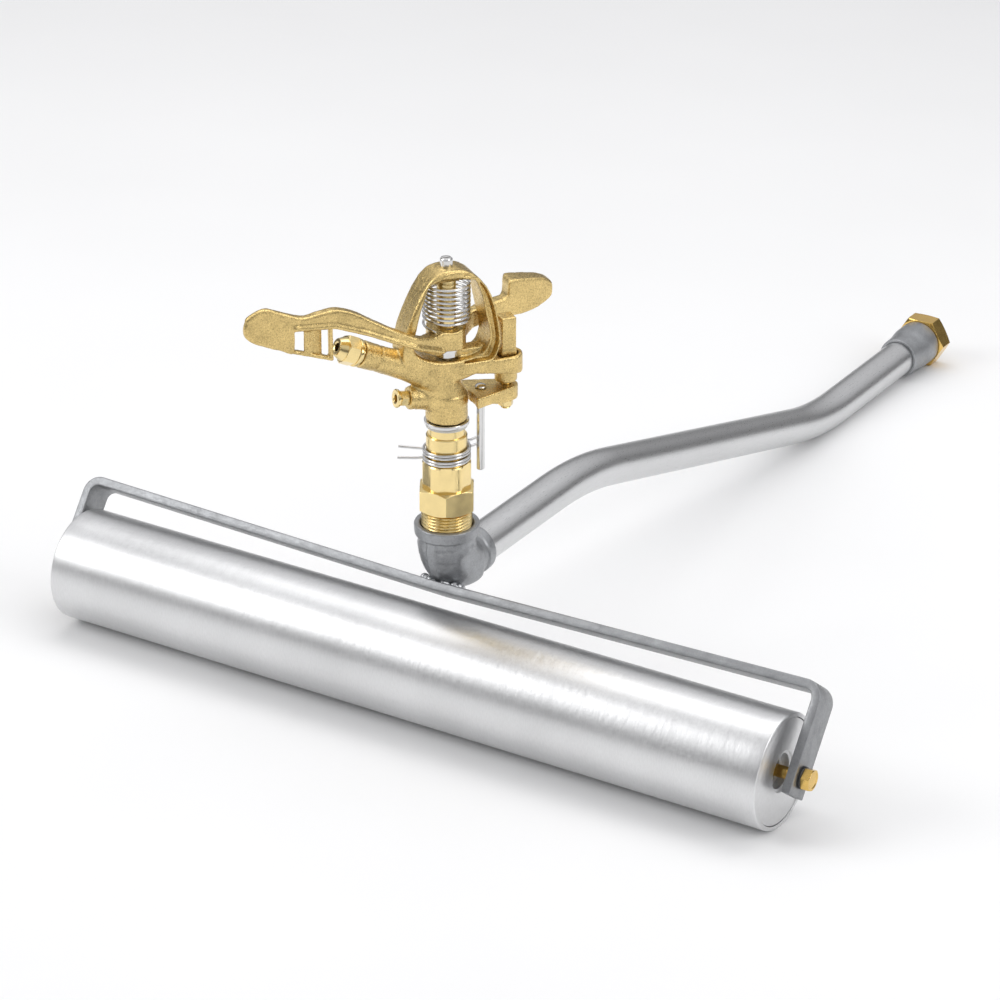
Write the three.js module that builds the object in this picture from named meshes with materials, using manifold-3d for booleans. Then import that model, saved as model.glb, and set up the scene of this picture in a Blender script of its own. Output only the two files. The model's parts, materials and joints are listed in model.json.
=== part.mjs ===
// Roller-base impact sprinkler: a part-circle impact head on a malleable elbow, carried by a
// steel roller in a flat-bar yoke, and fed through a cranked drag pipe with a hose inlet.
// Millimetres, +Z up, X along the roller, +Y towards the hose inlet.
import * as THREE from 'three';
import { mergeVertices } from 'three/addons/utils/BufferGeometryUtils.js';
import Module from 'manifold-3d';

const wasm = await Module();
wasm.setup();

// ---------------------------------------------------------------- driving dimensions
const GAP = 0.3; // clearance left between pieces that touch on the real object

const ROLLER_R = 38.05; // 76.1 mm steel tube
const ROLLER_LENGTH = 538;
const ROLLER_WALL = 2.9;
const HUB_BORE_R = 13; // open cup in the middle of each end disc
const DISC_RECESS = 1.4;
const DISC_THICK = 6;
const HUB_DEPTH = 26;
const CUP_DEPTH = 7;
const BUSH_R = 8;

const AXLE_R = 4;
const AXLE_HEAD_AF = 13; // across flats
const AXLE_HEAD_HEIGHT = 5.4;
const AXLE_WASHER = 1.5;

const YOKE_WIDTH = 23.5; // flat bar
const YOKE_THICK = 6;
const YOKE_GAP = 7; // roller end to inner face of an arm
const YOKE_REACH = 58.6; // axle to the outer face of the bar, at the corners
const YOKE_DIP = 5.5; // how far the bar is drawn in at the weld
const YOKE_TAIL = 12.9; // arm below the axle
const YOKE_BEND_R = 12; // outer radius of its corners
const YOKE_LEAN = THREE.MathUtils.degToRad(37); // arms lean back from the axle
const YOKE_HALF = ROLLER_LENGTH / 2 + YOKE_GAP + YOKE_THICK;

const HEAD_Y = 37.4; // sprinkler axis behind the roller axis
const PIPE_Z = 90.8; // pipe axis above the ground at the elbow
const PIPE_R = 13.45; // 26.9 mm (3/4 inch) tube
const PIPE_BORE_R = 10.8;
const PIPE_BEND_R = 280;
const PIPE_KNEE_1 = 208; // where the crank starts to fall
const PIPE_KNEE_2 = 562; // where it levels out again
const PIPE_END_Z = -9; // axis height of the far stretch in the yoke's own frame
const SOCKET_Y0 = 704.5;
const SOCKET_Y1 = 742;
const INLET_HEX_AF = 37;
const INLET_HEX_LENGTH = 14.5;
const INLET_BORE_R = 12.05; // G 3/4 female thread, minor diameter

const ELBOW_TOP = 33.5; // centre to threaded face
const ELBOW_SIDE = 35; // centre to pipe face
const ELBOW_BEND_R = 19;
const ELBOW_BODY_R = 18.6;
const ELBOW_BORE_R = 11;
const THREAD_R = 16.6; // G 1 male thread, 33.25 mm
const THREAD_PITCH = 2.31;
const THREAD_DEPTH = 1.1;
const NIPPLE_ROOT_DEPTH = 14.5; // length of thread inside the elbow

// heights on the sprinkler axis, above the ground line of the yoke
const Z_ELBOW_TOP = PIPE_Z + ELBOW_TOP;
const Z_HEX_0 = 134.8;
const Z_HEX_1 = 151;
const Z_FLATS_1 = 168.3;
const Z_SEAT_1 = 187;
const Z_NIPPLE_1 = 192.6;
const Z_COLUMN_0 = 197.8; // lower end of the turning body
const Z_BARREL = 225.6; // where the jet axis crosses the head axis
const Z_HUB_0 = 248.6;
const Z_HUB_1 = 261.6;
const Z_BRIDGE_TOP = 302;
const Z_PIN_TOP = 308.2;

const JET_POLAR = THREE.MathUtils.degToRad(235); // compass direction of the main jet at rest
const JET_RISE = THREE.MathUtils.degToRad(24.5);
const SPREAD_RISE = THREE.MathUtils.degToRad(7);
const SPREAD_Z = 213;
const BARREL_END = 64.5; // along the jet axis
const SPREAD_END = 27;
const NOZZLE_SEAT_R = 6.4;
const BRIDGE_DEPTH = 21;
const BEARING_BORE_R = 10.3;
const PIN_BORE_R = 3.5;
const PIN_R = 3.05;
const SPRING_R = 14.6;
const SPRING_WIRE_R = 0.85;

const PIVOT_X = -41; // trip pivot, behind the rear leg of the bridge
const TRIP_PIN_X = -23.5;
const TRIP_PIN_R = 2.8;
const TRIP_PIN_FOOT = 157.5;
const LEVER_0 = 205.5;
const LEVER_1 = 215;
const LEVER_END_R = 7.8;
const TRIP_SWING = 12; // degrees each way
const LUG_R = 10.7;
const LUG_TOP = 237;
const POCKET_R = 7.9;
const POCKET_FLOOR = 229;
const BOSS_FOOT = 217.6;
const DOG_TOP = 262; // post above the pivot

const STOP_WIRE_R = 0.9;
const STOP_COIL_R = 14.7;
const STOP_PITCH = 2;
const PRONG_REACH = 34;

// ---------------------------------------------------------------- materials
const finish = (color, roughness, metalness) =>
  new THREE.MeshStandardMaterial({ color, roughness, metalness });
const zincSteel = () => finish(0xb9bdc2, 0.32, 1);
const paintedGrey = () => finish(0x8e9095, 0.5, 0.55);
const castIron = () => finish(0x8a8c91, 0.6, 0.6);
const pipeZinc = () => finish(0xb3b5b8, 0.38, 0.9);
const castBrass = () => finish(0xb39a62, 0.55, 0.9);
const brightBrass = () => finish(0xd6b566, 0.25, 1);
const stainless = () => finish(0xc9cbcd, 0.22, 1);
const darkSteel = () => finish(0x5c5d60, 0.5, 0.8);
const rubber = () => finish(0x202122, 0.8, 0);
const polymer = () => finish(0xd8d6cf, 0.55, 0);

// ---------------------------------------------------------------- solid helpers
// A closed three.js geometry as a Manifold, with its faces turned outwards.
function solid(geometry) {
  const g = geometry.index ? geometry.toNonIndexed() : geometry.clone();
  for (const name of Object.keys(g.attributes)) {
    if (name !== 'position') g.deleteAttribute(name);
  }
  const merged = mergeVertices(g, 1e-4);
  const pos = merged.getAttribute('position').array;
  const tris = [];
  let volume = 0;
  for (let i = 0; i < merged.index.count; i += 3) {
    const [a, b, c] = [0, 1, 2].map((k) => merged.index.getX(i + k));
    if (a === b || b === c || c === a) continue;
    tris.push(a, b, c);
    const [p, q, r] = [a, b, c].map((k) => new THREE.Vector3().fromArray(pos, k * 3));
    volume += p.dot(q.cross(r));
  }
  if (volume < 0) tris.reverse();
  return new wasm.Manifold(new wasm.Mesh({
    numProp: 3,
    vertProperties: new Float32Array(pos),
    triVerts: new Uint32Array(tris),
  }));
}

function toGeometry(manifold) {
  const m = manifold.getMesh();
  const g = new THREE.BufferGeometry();
  g.setAttribute('position', new THREE.BufferAttribute(new Float32Array(m.vertProperties), 3));
  g.setIndex(new THREE.BufferAttribute(new Uint32Array(m.triVerts), 1));
  g.computeVertexNormals();
  return g;
}

const join = (...parts) => parts.reduce((sum, part) => sum.add(part));
const cut = (base, ...tools) => tools.reduce((rest, tool) => rest.subtract(tool), base);

function piece(name, manifold, material) {
  const mesh = new THREE.Mesh(toGeometry(manifold), material);
  mesh.name = name;
  return mesh;
}

// Turned shape about Z from [radius, height] points; closed on the axis or on itself.
function turned(points, segments = 26) {
  const profile = points.map(([r, z]) => new THREE.Vector2(r, z));
  const ring = points.every(([r]) => r > 0);
  if (ring) profile.push(profile[0].clone());
  const g = new THREE.LatheGeometry(profile, segments);
  return g.rotateX(Math.PI / 2);
}

const rod = (radius, z0, z1, segments = 18) =>
  solid(turned([[0, z0], [radius, z0], [radius, z1], [0, z1]], segments));

const sleeve = (inner, outer, z0, z1, segments = 18) =>
  solid(turned([[inner, z0], [outer, z0], [outer, z1], [inner, z1]], segments));

// Regular prism about Z with its corners eased by a turned envelope.
function prism(sides, acrossFlats, z0, z1, turn = 0, ease = 0.08) {
  const circum = acrossFlats / 2 / Math.cos(Math.PI / sides);
  const g = new THREE.CylinderGeometry(circum, circum, z1 - z0, sides);
  g.rotateX(Math.PI / 2);
  g.rotateZ(turn);
  g.translate(0, 0, (z0 + z1) / 2);
  const flat = acrossFlats / 2;
  const drop = (circum - flat) * (0.5 + ease);
  const envelope = turned([
    [0, z0], [flat, z0], [circum + 0.2, z0 + drop],
    [circum + 0.2, z1 - drop], [flat, z1], [0, z1],
  ], 24);
  return solid(g).intersect(solid(envelope));
}

// Flat outline in the XZ plane, thick along Y and centred on it.
function slab(outline, thickness, holes = []) {
  const shape = new THREE.Shape(outline.map(([x, z]) => new THREE.Vector2(x, z)));
  for (const hole of holes) {
    shape.holes.push(new THREE.Path(hole.map(([x, z]) => new THREE.Vector2(x, z))));
  }
  const g = new THREE.ExtrudeGeometry(shape, { depth: thickness, bevelEnabled: false });
  g.rotateX(Math.PI / 2);
  g.translate(0, thickness / 2, 0);
  return g;
}

// Flat outline in the XY plane, standing from z0 to z1.
function plate(outline, z0, z1) {
  const shape = new THREE.Shape(outline.map(([x, y]) => new THREE.Vector2(x, y)));
  const g = new THREE.ExtrudeGeometry(shape, { depth: z1 - z0, bevelEnabled: false });
  return g.translate(0, 0, z0);
}

// Smooth closed outline through a few points.
function smoothLoop(points, count) {
  const curve = new THREE.CatmullRomCurve3(
    points.map(([x, y]) => new THREE.Vector3(x, y, 0)), true, 'centripetal');
  return curve.getPoints(count).slice(0, count).map((p) => [p.x, p.y]);
}

function circle(radius, sides) {
  const shape = new THREE.Shape();
  for (let i = 0; i < sides; i += 1) {
    const a = (2 * Math.PI * i) / sides;
    if (i === 0) shape.moveTo(radius, 0);
    else shape.lineTo(radius * Math.cos(a), radius * Math.sin(a));
  }
  shape.closePath();
  return shape;
}

// Round wire along a curve.
const wire = (curve, radius, steps, sides = 6) =>
  new THREE.ExtrudeGeometry(circle(radius, sides), { steps, extrudePath: curve });

// A shape turned about Z laid along X instead, starting at x.
function alongX(geometryOrSolid, x = 0) {
  const rotated = geometryOrSolid.rotate([0, 90, 0]);
  return rotated.translate([x, 0, 0]);
}

// ---------------------------------------------------------------- roller
function rollerShell() {
  const half = ROLLER_LENGTH / 2;
  const chamfer = 1.3;
  const inner = ROLLER_R - ROLLER_WALL;
  const profile = [
    [inner, -half], [ROLLER_R - chamfer, -half], [ROLLER_R, -half + chamfer],
    [ROLLER_R, half - chamfer], [ROLLER_R - chamfer, half], [inner, half],
  ];
  return piece('roller_shell', alongX(solid(turned(profile, 48))), zincSteel());
}

// One end: built for +X, mirrored for -X.
function endDisc() {
  const rim = ROLLER_R - ROLLER_WALL - GAP;
  const hub = HUB_BORE_R + 4;
  return solid(turned([
    [BUSH_R + GAP, -HUB_DEPTH], [hub, -HUB_DEPTH], [hub, -DISC_THICK], [rim, -DISC_THICK],
    [rim, 0], [HUB_BORE_R, 0], [HUB_BORE_R - 1.6, -1.8], [HUB_BORE_R - 1.6, -CUP_DEPTH],
    [BUSH_R + GAP, -CUP_DEPTH],
  ], 32));
}

const hubBush = () => sleeve(AXLE_R + 0.35, BUSH_R, -HUB_DEPTH + 0.8, -CUP_DEPTH - 0.6, 18);

function axleBolt(seat) {
  const head = prism(6, AXLE_HEAD_AF, seat, seat + AXLE_HEAD_HEIGHT, 0.2);
  return join(rod(AXLE_R, -HUB_DEPTH + 2.5, seat + 1, 18), head);
}

// ---------------------------------------------------------------- yoke
function arc(cx, cz, r, from, to, count) {
  const points = [];
  for (let i = 0; i <= count; i += 1) {
    const a = THREE.MathUtils.degToRad(from + ((to - from) * i) / count);
    points.push([cx + r * Math.cos(a), cz + r * Math.sin(a)]);
  }
  return points;
}

function yokeOutline() {
  const x1 = YOKE_HALF;
  const x0 = YOKE_HALF - YOKE_THICK;
  const top = YOKE_REACH;
  const cornerX = x1 - YOKE_BEND_R;
  const cornerZ = top - YOKE_BEND_R;
  const innerR = YOKE_BEND_R - YOKE_THICK;
  const right = [
    [x0, -YOKE_TAIL], [x1, -YOKE_TAIL],
    ...arc(cornerX, cornerZ, YOKE_BEND_R, 0, 90, 6),
  ];
  const left = right.map(([x, z]) => [-x, z]).reverse();
  const innerRight = arc(cornerX, cornerZ, innerR, 90, 0, 5);
  const innerLeft = innerRight.map(([x, z]) => [-x, z]).reverse();
  const crown = [0, top - YOKE_DIP];
  const innerCrown = [0, top - YOKE_DIP - YOKE_THICK];
  return [...right, crown, ...left, ...innerLeft, innerCrown, ...innerRight];
}

const yokeSolid = (grow = 0) => solid(slab(yokeOutline(), YOKE_WIDTH + 2 * grow));

function yoke() {
  const hole = alongX(rod(AXLE_R + 0.35, -1, 2 * YOKE_HALF + 1, 18), -YOKE_HALF);
  return piece('yoke', cut(yokeSolid(), hole), paintedGrey());
}

// ---------------------------------------------------------------- elbow and pipe
class QuarterBend extends THREE.Curve {
  // Centre line of the elbow: down the head axis, then back along the pipe.
  getPoint(t, target = new THREE.Vector3()) {
    const a = (t * Math.PI) / 2;
    const r = ELBOW_BEND_R;
    return target.set(0, r - r * Math.cos(a), r - r * Math.sin(a));
  }
}

const bendSolid = (radius, sides) => solid(wire(new QuarterBend(), radius, 7, sides));

// Laid along +Y from the elbow centre.
const alongY = (manifold) => manifold.rotate([-90, 0, 0]);

function elbowOuter(grow = 0) {
  const r = ELBOW_BODY_R + grow;
  const topBand = solid(turned([
    [0, ELBOW_BEND_R - 1], [r, ELBOW_BEND_R - 1], [r, ELBOW_TOP - 8.6],
    [r + 2.2, ELBOW_TOP - 6.8], [r + 2.9, ELBOW_TOP - 1.2], [r + 2.2, ELBOW_TOP], [0, ELBOW_TOP],
  ], 24));
  const sideBand = alongY(solid(turned([
    [0, ELBOW_BEND_R - 1], [r - 3, ELBOW_BEND_R - 1], [r - 3.2, ELBOW_SIDE - 8],
    [r - 2.4, ELBOW_SIDE - 6.6], [r - 2.4, ELBOW_SIDE - 0.8], [r - 3.2, ELBOW_SIDE],
    [0, ELBOW_SIDE],
  ], 20)));
  return join(bendSolid(r, 20), topBand, sideBand);
}

function elbow() {
  const inner = join(
    bendSolid(ELBOW_BORE_R, 12),
    rod(ELBOW_BORE_R, ELBOW_BEND_R - 1, ELBOW_TOP, 12),
    alongY(rod(ELBOW_BORE_R, ELBOW_BEND_R - 1, ELBOW_SIDE, 12)),
    rod(14.2, ELBOW_TOP - 22, ELBOW_TOP),
    rod(THREAD_R + 0.6, ELBOW_TOP - 16, ELBOW_TOP + 1, 24),
    alongY(rod(PIPE_R + 0.6, ELBOW_SIDE - 13, ELBOW_SIDE + 1, 20)),
  );
  return piece('elbow', cut(elbowOuter(), inner), castIron());
}

// Pipe centre line in the YZ plane: level, falling, level, with a round bend at each knee.
class CrankedPipe extends THREE.Curve {
  constructor(start, end) {
    super();
    const fall = Math.atan2(PIPE_Z - PIPE_END_Z, PIPE_KNEE_2 - PIPE_KNEE_1);
    const tangent = PIPE_BEND_R * Math.tan(fall / 2);
    const slope = (PIPE_KNEE_2 - PIPE_KNEE_1) / Math.cos(fall);
    this.fall = fall;
    this.start = start;
    this.lengths = [
      PIPE_KNEE_1 - tangent - start, PIPE_BEND_R * fall, slope - 2 * tangent,
      PIPE_BEND_R * fall, end - PIPE_KNEE_2 - tangent,
    ];
    this.total = this.lengths.reduce((a, b) => a + b);
  }

  getPoint(t, target = new THREE.Vector3()) {
    let left = t * this.total;
    let [y, z, heading] = [this.start, PIPE_Z, 0];
    const turns = [0, -this.fall, 0, this.fall, 0];
    for (let i = 0; i < 5; i += 1) {
      const step = Math.min(left, this.lengths[i]);
      const turn = (turns[i] * step) / this.lengths[i];
      const chord = turn === 0 ? step : (2 * Math.sin(Math.abs(turn) / 2) * step) / Math.abs(turn);
      y += chord * Math.cos(heading + turn / 2);
      z += chord * Math.sin(heading + turn / 2);
      heading += turn;
      left -= step;
    }
    return target.set(0, y, z);
  }
}

function pipe() {
  const line = new CrankedPipe(HEAD_Y + ELBOW_SIDE - 12.5, SOCKET_Y1 - 20);
  const section = circle(PIPE_R, 16);
  section.holes.push(new THREE.Path(circle(PIPE_BORE_R, 10).getPoints().reverse()));
  const tube = new THREE.ExtrudeGeometry(section, { steps: 22, extrudePath: line });
  return piece('drag_pipe', solid(tube), pipeZinc());
}

function endSocket() {
  const length = SOCKET_Y1 - SOCKET_Y0;
  const profile = [
    [PIPE_R + GAP, 0], [15.4, 0], [15.9, 1.2], [16.1, 12], [16.9, 20], [17.7, 25.5],
    [17.7, length - 1], [16.9, length], [15.6, length], [15.6, length - 16],
    [PIPE_R + GAP, length - 16.6],
  ];
  const body = alongY(solid(turned(profile, 24))).translate([0, SOCKET_Y0, PIPE_END_Z]);
  return piece('end_socket', body, castIron());
}

function hoseInletBush() {
  const y0 = SOCKET_Y1 + GAP;
  const hex = prism(6, INLET_HEX_AF, 0, INLET_HEX_LENGTH, Math.PI / 6);
  const spigot = rod(15.2, -14.5, 1, 24);
  const bore = join(rod(INLET_BORE_R, -4, INLET_HEX_LENGTH + 1, 24), rod(9.5, -16, 0));
  const body = alongY(cut(join(hex, spigot), bore)).translate([0, y0, PIPE_END_Z]);
  return piece('hose_inlet_bush', body, brightBrass());
}

function hoseSeal() {
  const ring = alongY(sleeve(8.8, 11.6, 0, 2.6, 20));
  return piece('hose_seal', ring.translate([0, SOCKET_Y1 + GAP - 3.6, PIPE_END_Z]), rubber());
}

// Lumpy fillet weld between the bar of the yoke and the heel of the elbow.
function weldBead() {
  const heel = new THREE.SphereGeometry(1, 14, 8);
  heel.scale(19, 8.5, 6.5);
  heel.rotateX(-YOKE_LEAN);
  const across = YOKE_REACH - YOKE_DIP + 1.5;
  const y = Math.sin(YOKE_LEAN) * across;
  const z = ROLLER_R + Math.cos(YOKE_LEAN) * across;
  const blank = solid(heel).translate([0, y, z]);
  const toYoke = yokeSolid(GAP)
    .translate([0, 0, GAP])
    .rotate([THREE.MathUtils.radToDeg(-YOKE_LEAN), 0, 0])
    .translate([0, 0, ROLLER_R]);
  const toElbow = elbowOuter(GAP).translate([0, HEAD_Y, PIPE_Z]);
  return piece('weld_bead', cut(blank, toYoke, toElbow), darkSteel());
}

// ---------------------------------------------------------------- bearing
function bearingNipple() {
  const turns = 4;
  const z0 = Z_ELBOW_TOP - NIPPLE_ROOT_DEPTH;
  const thread = [];
  for (let i = 0; i < turns; i += 1) {
    const z = Z_ELBOW_TOP + 0.6 + i * THREAD_PITCH;
    thread.push([THREAD_R, z], [THREAD_R - THREAD_DEPTH, z + THREAD_PITCH / 2]);
  }
  const body = solid(turned([
    [0, z0], [THREAD_R - 1, z0], [THREAD_R, z0 + 1.5], ...thread,
    [THREAD_R - THREAD_DEPTH, Z_HEX_0 + 1], [12, Z_HEX_0 + 1], [12, Z_FLATS_1 - 1],
    [13.3, Z_FLATS_1 - 1], [13.3, Z_SEAT_1 - 0.6], [11.9, Z_SEAT_1], [11.9, Z_NIPPLE_1],
    [0, Z_NIPPLE_1],
  ], 26));
  const hex = prism(6, 33.4, Z_HEX_0, Z_HEX_1, 0.25, 0.2);
  const round = solid(turned([
    [0, Z_HEX_1 - 0.5], [15.7, Z_HEX_1 - 0.5], [15.7, Z_FLATS_1 - 0.8], [15, Z_FLATS_1],
    [0, Z_FLATS_1],
  ], 24));
  const flats = prism(6, 29.4, Z_HEX_1 - 1, Z_FLATS_1 + 1, 0.25, 0);
  const bore = rod(BEARING_BORE_R, z0 - 1, Z_NIPPLE_1 + 1, 20);
  return piece('bearing_nipple', cut(join(body, hex, round.intersect(flats)), bore), brightBrass());
}

// Wire stop ring: two coils round the nipple, ending in prongs that ease to heights of their own.
class StopRing extends THREE.Curve {
  constructor(z, prongZ, fromPolar, toPolar, coils) {
    super();
    this.z = z;
    this.prongZ = prongZ;
    this.from = fromPolar;
    this.sweep = toPolar - fromPolar + 2 * Math.PI * coils;
    this.prong = PRONG_REACH - STOP_COIL_R;
  }

  getPoint(t, target = new THREE.Vector3()) {
    const coil = Math.abs(this.sweep) * STOP_COIL_R;
    const total = coil + 2 * this.prong;
    const s = t * total;
    const along = Math.min(Math.max(s - this.prong, 0), coil) / coil;
    const polar = this.from + this.sweep * along;
    const out = Math.max(this.prong - s, s - this.prong - coil, 0);
    const blend = 2.5;
    const lift = out > 0 ? Math.sqrt(out * out + blend * blend) - blend : 0;
    const r = STOP_COIL_R + lift;
    const coilZ = this.z + (STOP_PITCH * this.sweep * along) / (2 * Math.PI);
    const ease = THREE.MathUtils.smoothstep(out, 0, 9);
    const z = THREE.MathUtils.lerp(coilZ, this.prongZ[along < 0.5 ? 0 : 1], ease);
    return target.set(r * Math.cos(polar), r * Math.sin(polar), z);
  }
}

function stopRing(name, z, prongZ, leftPolar, rightPolar) {
  const rad = THREE.MathUtils.degToRad;
  const curve = new StopRing(z, prongZ, rad(leftPolar), rad(rightPolar), 2);
  return piece(name, solid(wire(curve, STOP_WIRE_R, 50, 5)), stainless());
}

function bearingTube() {
  const z0 = Z_ELBOW_TOP - 20.5;
  return piece('bearing_tube', solid(turned([
    [7.6, z0], [13.4, z0], [13.4, z0 + 2.6], [9.8, z0 + 2.6], [9.8, Z_COLUMN_0 + 14],
    [7.6, Z_COLUMN_0 + 14],
  ], 20)), brightBrass());
}

class Coil extends THREE.Curve {
  constructor(radius, z0, z1, turns) {
    super();
    Object.assign(this, { radius, z0, z1, turns });
  }

  getPoint(t, target = new THREE.Vector3()) {
    const a = 2 * Math.PI * this.turns * t;
    const z = this.z0 + (this.z1 - this.z0) * t;
    return target.set(this.radius * Math.cos(a), this.radius * Math.sin(a), z);
  }
}

function spring(name, radius, wireR, z0, z1, turns) {
  const coil = wire(new Coil(radius, z0, z1, turns), wireR, Math.round(turns * 10), 5);
  return piece(name, solid(coil), stainless());
}

// ---------------------------------------------------------------- turning head
// In this group X points along the jet, Y to the left of it seen from behind, Z up.
const inJet = (manifold, rise, z) => manifold
  .rotate([0, 90 - THREE.MathUtils.radToDeg(rise), 0])
  .translate([0, 0, z]);

function bridgeOutlines() {
  const outer = smoothLoop([
    [33, 246], [31.6, 262], [25.6, 278], [18.4, 291.5], [10, 300], [0, Z_BRIDGE_TOP], [-11, 300],
    [-21, 291.8], [-28, 279], [-32, 262], [-33, 248], [-28, 237], [-14, 229], [0, 226],
    [14, 229], [24, 236],
  ], 40);
  const inner = smoothLoop([
    [25.5, 254], [23.2, 268], [18.6, 284], [13.6, 294.4], [0, 296], [-14.6, 294.2], [-20, 284],
    [-23, 270], [-26, 254], [-21, 243.5], [-8, 240.6], [8, 241.6], [20, 246.5],
  ], 32);
  return [outer, inner];
}

const atPivot = (manifold) => manifold.translate([PIVOT_X, 0, 0]);

// Loop behind the rear leg, deeper towards its round end, with the trip pivot's boss below.
function rearLug() {
  const outline = [[-3, -LUG_R], ...arc(PIVOT_X, 0, LUG_R, 270, 90, 10), [-3, LUG_R]];
  const under = slab([[5, 200], [5, 233], [-60, 222], [-60, 200]], 60);
  const loop = cut(solid(plate(outline, 215, LUG_TOP)), solid(under));
  return join(loop, atPivot(rod(7.4, BOSS_FOOT, 226, 20)));
}

function rearPocket() {
  const outline = [[-35, -POCKET_R], ...arc(PIVOT_X, 0, POCKET_R, 270, 90, 10), [-35, POCKET_R]];
  return solid(plate(outline, POCKET_FLOOR, LUG_TOP + 1));
}

function headBody() {
  const column = solid(turned([
    [0, Z_COLUMN_0], [13.2, Z_COLUMN_0], [13.6, Z_COLUMN_0 + 1.5], [13.4, 213], [13, 224],
    [11.5, 234], [8.5, 240], [0, 241.8],
  ], 24));
  const barrel = inJet(solid(turned([
    [0, 0], [11.4, 0], [10, 18], [8.7, 34], [8.3, 52.4], [7.9, 52.8], [8.8, 53.2],
    [8.9, BARREL_END - 0.6], [8.4, BARREL_END], [0, BARREL_END],
  ], 22)), JET_RISE, Z_BARREL);
  const spreader = inJet(solid(turned([
    [0, 0], [8.6, 0], [7.9, 14], [7.8, SPREAD_END - 1], [6.8, SPREAD_END], [0, SPREAD_END],
  ], 18)), SPREAD_RISE, SPREAD_Z);
  const [outer, inner] = bridgeOutlines();
  const bridge = solid(slab(outer, BRIDGE_DEPTH, [inner]));
  const crown = rod(9, Z_BRIDGE_TOP - 6, Z_BRIDGE_TOP - 0.2);
  const hollow = join(
    rod(11.9, Z_COLUMN_0 - 1, Z_COLUMN_0 + 9.4),
    rod(BEARING_BORE_R, Z_COLUMN_0, Z_COLUMN_0 + 14.4),
    rod(7.6, Z_COLUMN_0, 222, 16),
    inJet(rod(NOZZLE_SEAT_R, 6, BARREL_END + 1), JET_RISE, Z_BARREL),
    inJet(rod(PIN_BORE_R, 2, SPREAD_END + 1, 12), SPREAD_RISE, SPREAD_Z),
    rod(PIN_BORE_R, 234, Z_PIN_TOP, 14),
    atPivot(rod(PIN_BORE_R, BOSS_FOOT - 1, LUG_TOP, 14)),
    rearPocket(),
  );
  const body = join(column, barrel, spreader, bridge, crown, rearLug());
  return piece('head_body', cut(body, hollow), castBrass());
}

function mainNozzle() {
  const s = BARREL_END + GAP;
  const hex = [s + 3.6, s + 12];
  const tip = s + 17;
  const around = solid(turned([
    [0, s - 9], [NOZZLE_SEAT_R - 0.4, s - 9], [NOZZLE_SEAT_R - 0.4, s], [7.6, s], [7.6, s + 0.9],
    [9.2, s + 1.2], [9.2, hex[0] + 0.4], [8, hex[0] + 0.6], [8, hex[1]], [5.8, tip - 0.8],
    [5, tip], [0, tip],
  ], 20));
  const outer = join(around, prism(6, 17, ...hex, 0.5));
  const bore = solid(turned([
    [0, s - 10], [4.8, s - 10], [4.4, s], [2.6, tip - 4], [2.7, tip + 1], [0, tip + 1],
  ], 14));
  return piece('main_nozzle', inJet(cut(outer, bore), JET_RISE, Z_BARREL), brightBrass());
}

function straightener() {
  const [r, t] = [NOZZLE_SEAT_R - 0.5, 0.5];
  const cross = [
    [t, t], [r, t], [r, -t], [t, -t], [t, -r], [-t, -r], [-t, -t], [-r, -t], [-r, t],
    [-t, t], [-t, r], [t, r],
  ];
  const vanes = solid(plate(cross, 22, 50));
  return piece('stream_straightener', inJet(vanes, JET_RISE, Z_BARREL), polymer());
}

function spreaderNozzle() {
  const s = SPREAD_END + GAP;
  const tip = s + 8.2;
  const outer = join(
    rod(3.0, s - 8, s + 1, 12),
    prism(6, 9.2, s, s + 5.2, 0.3),
    solid(turned([[0, s + 4], [3.9, s + 4], [3.9, s + 5.8], [6, s + 6.2], [6, tip - 0.7],
      [5.2, tip], [0, tip]], 16)),
  );
  const bore = rod(2.4, s - 9, tip + 1, 12);
  return piece('spreader_nozzle', inJet(cut(outer, bore), SPREAD_RISE, SPREAD_Z), brightBrass());
}

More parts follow.
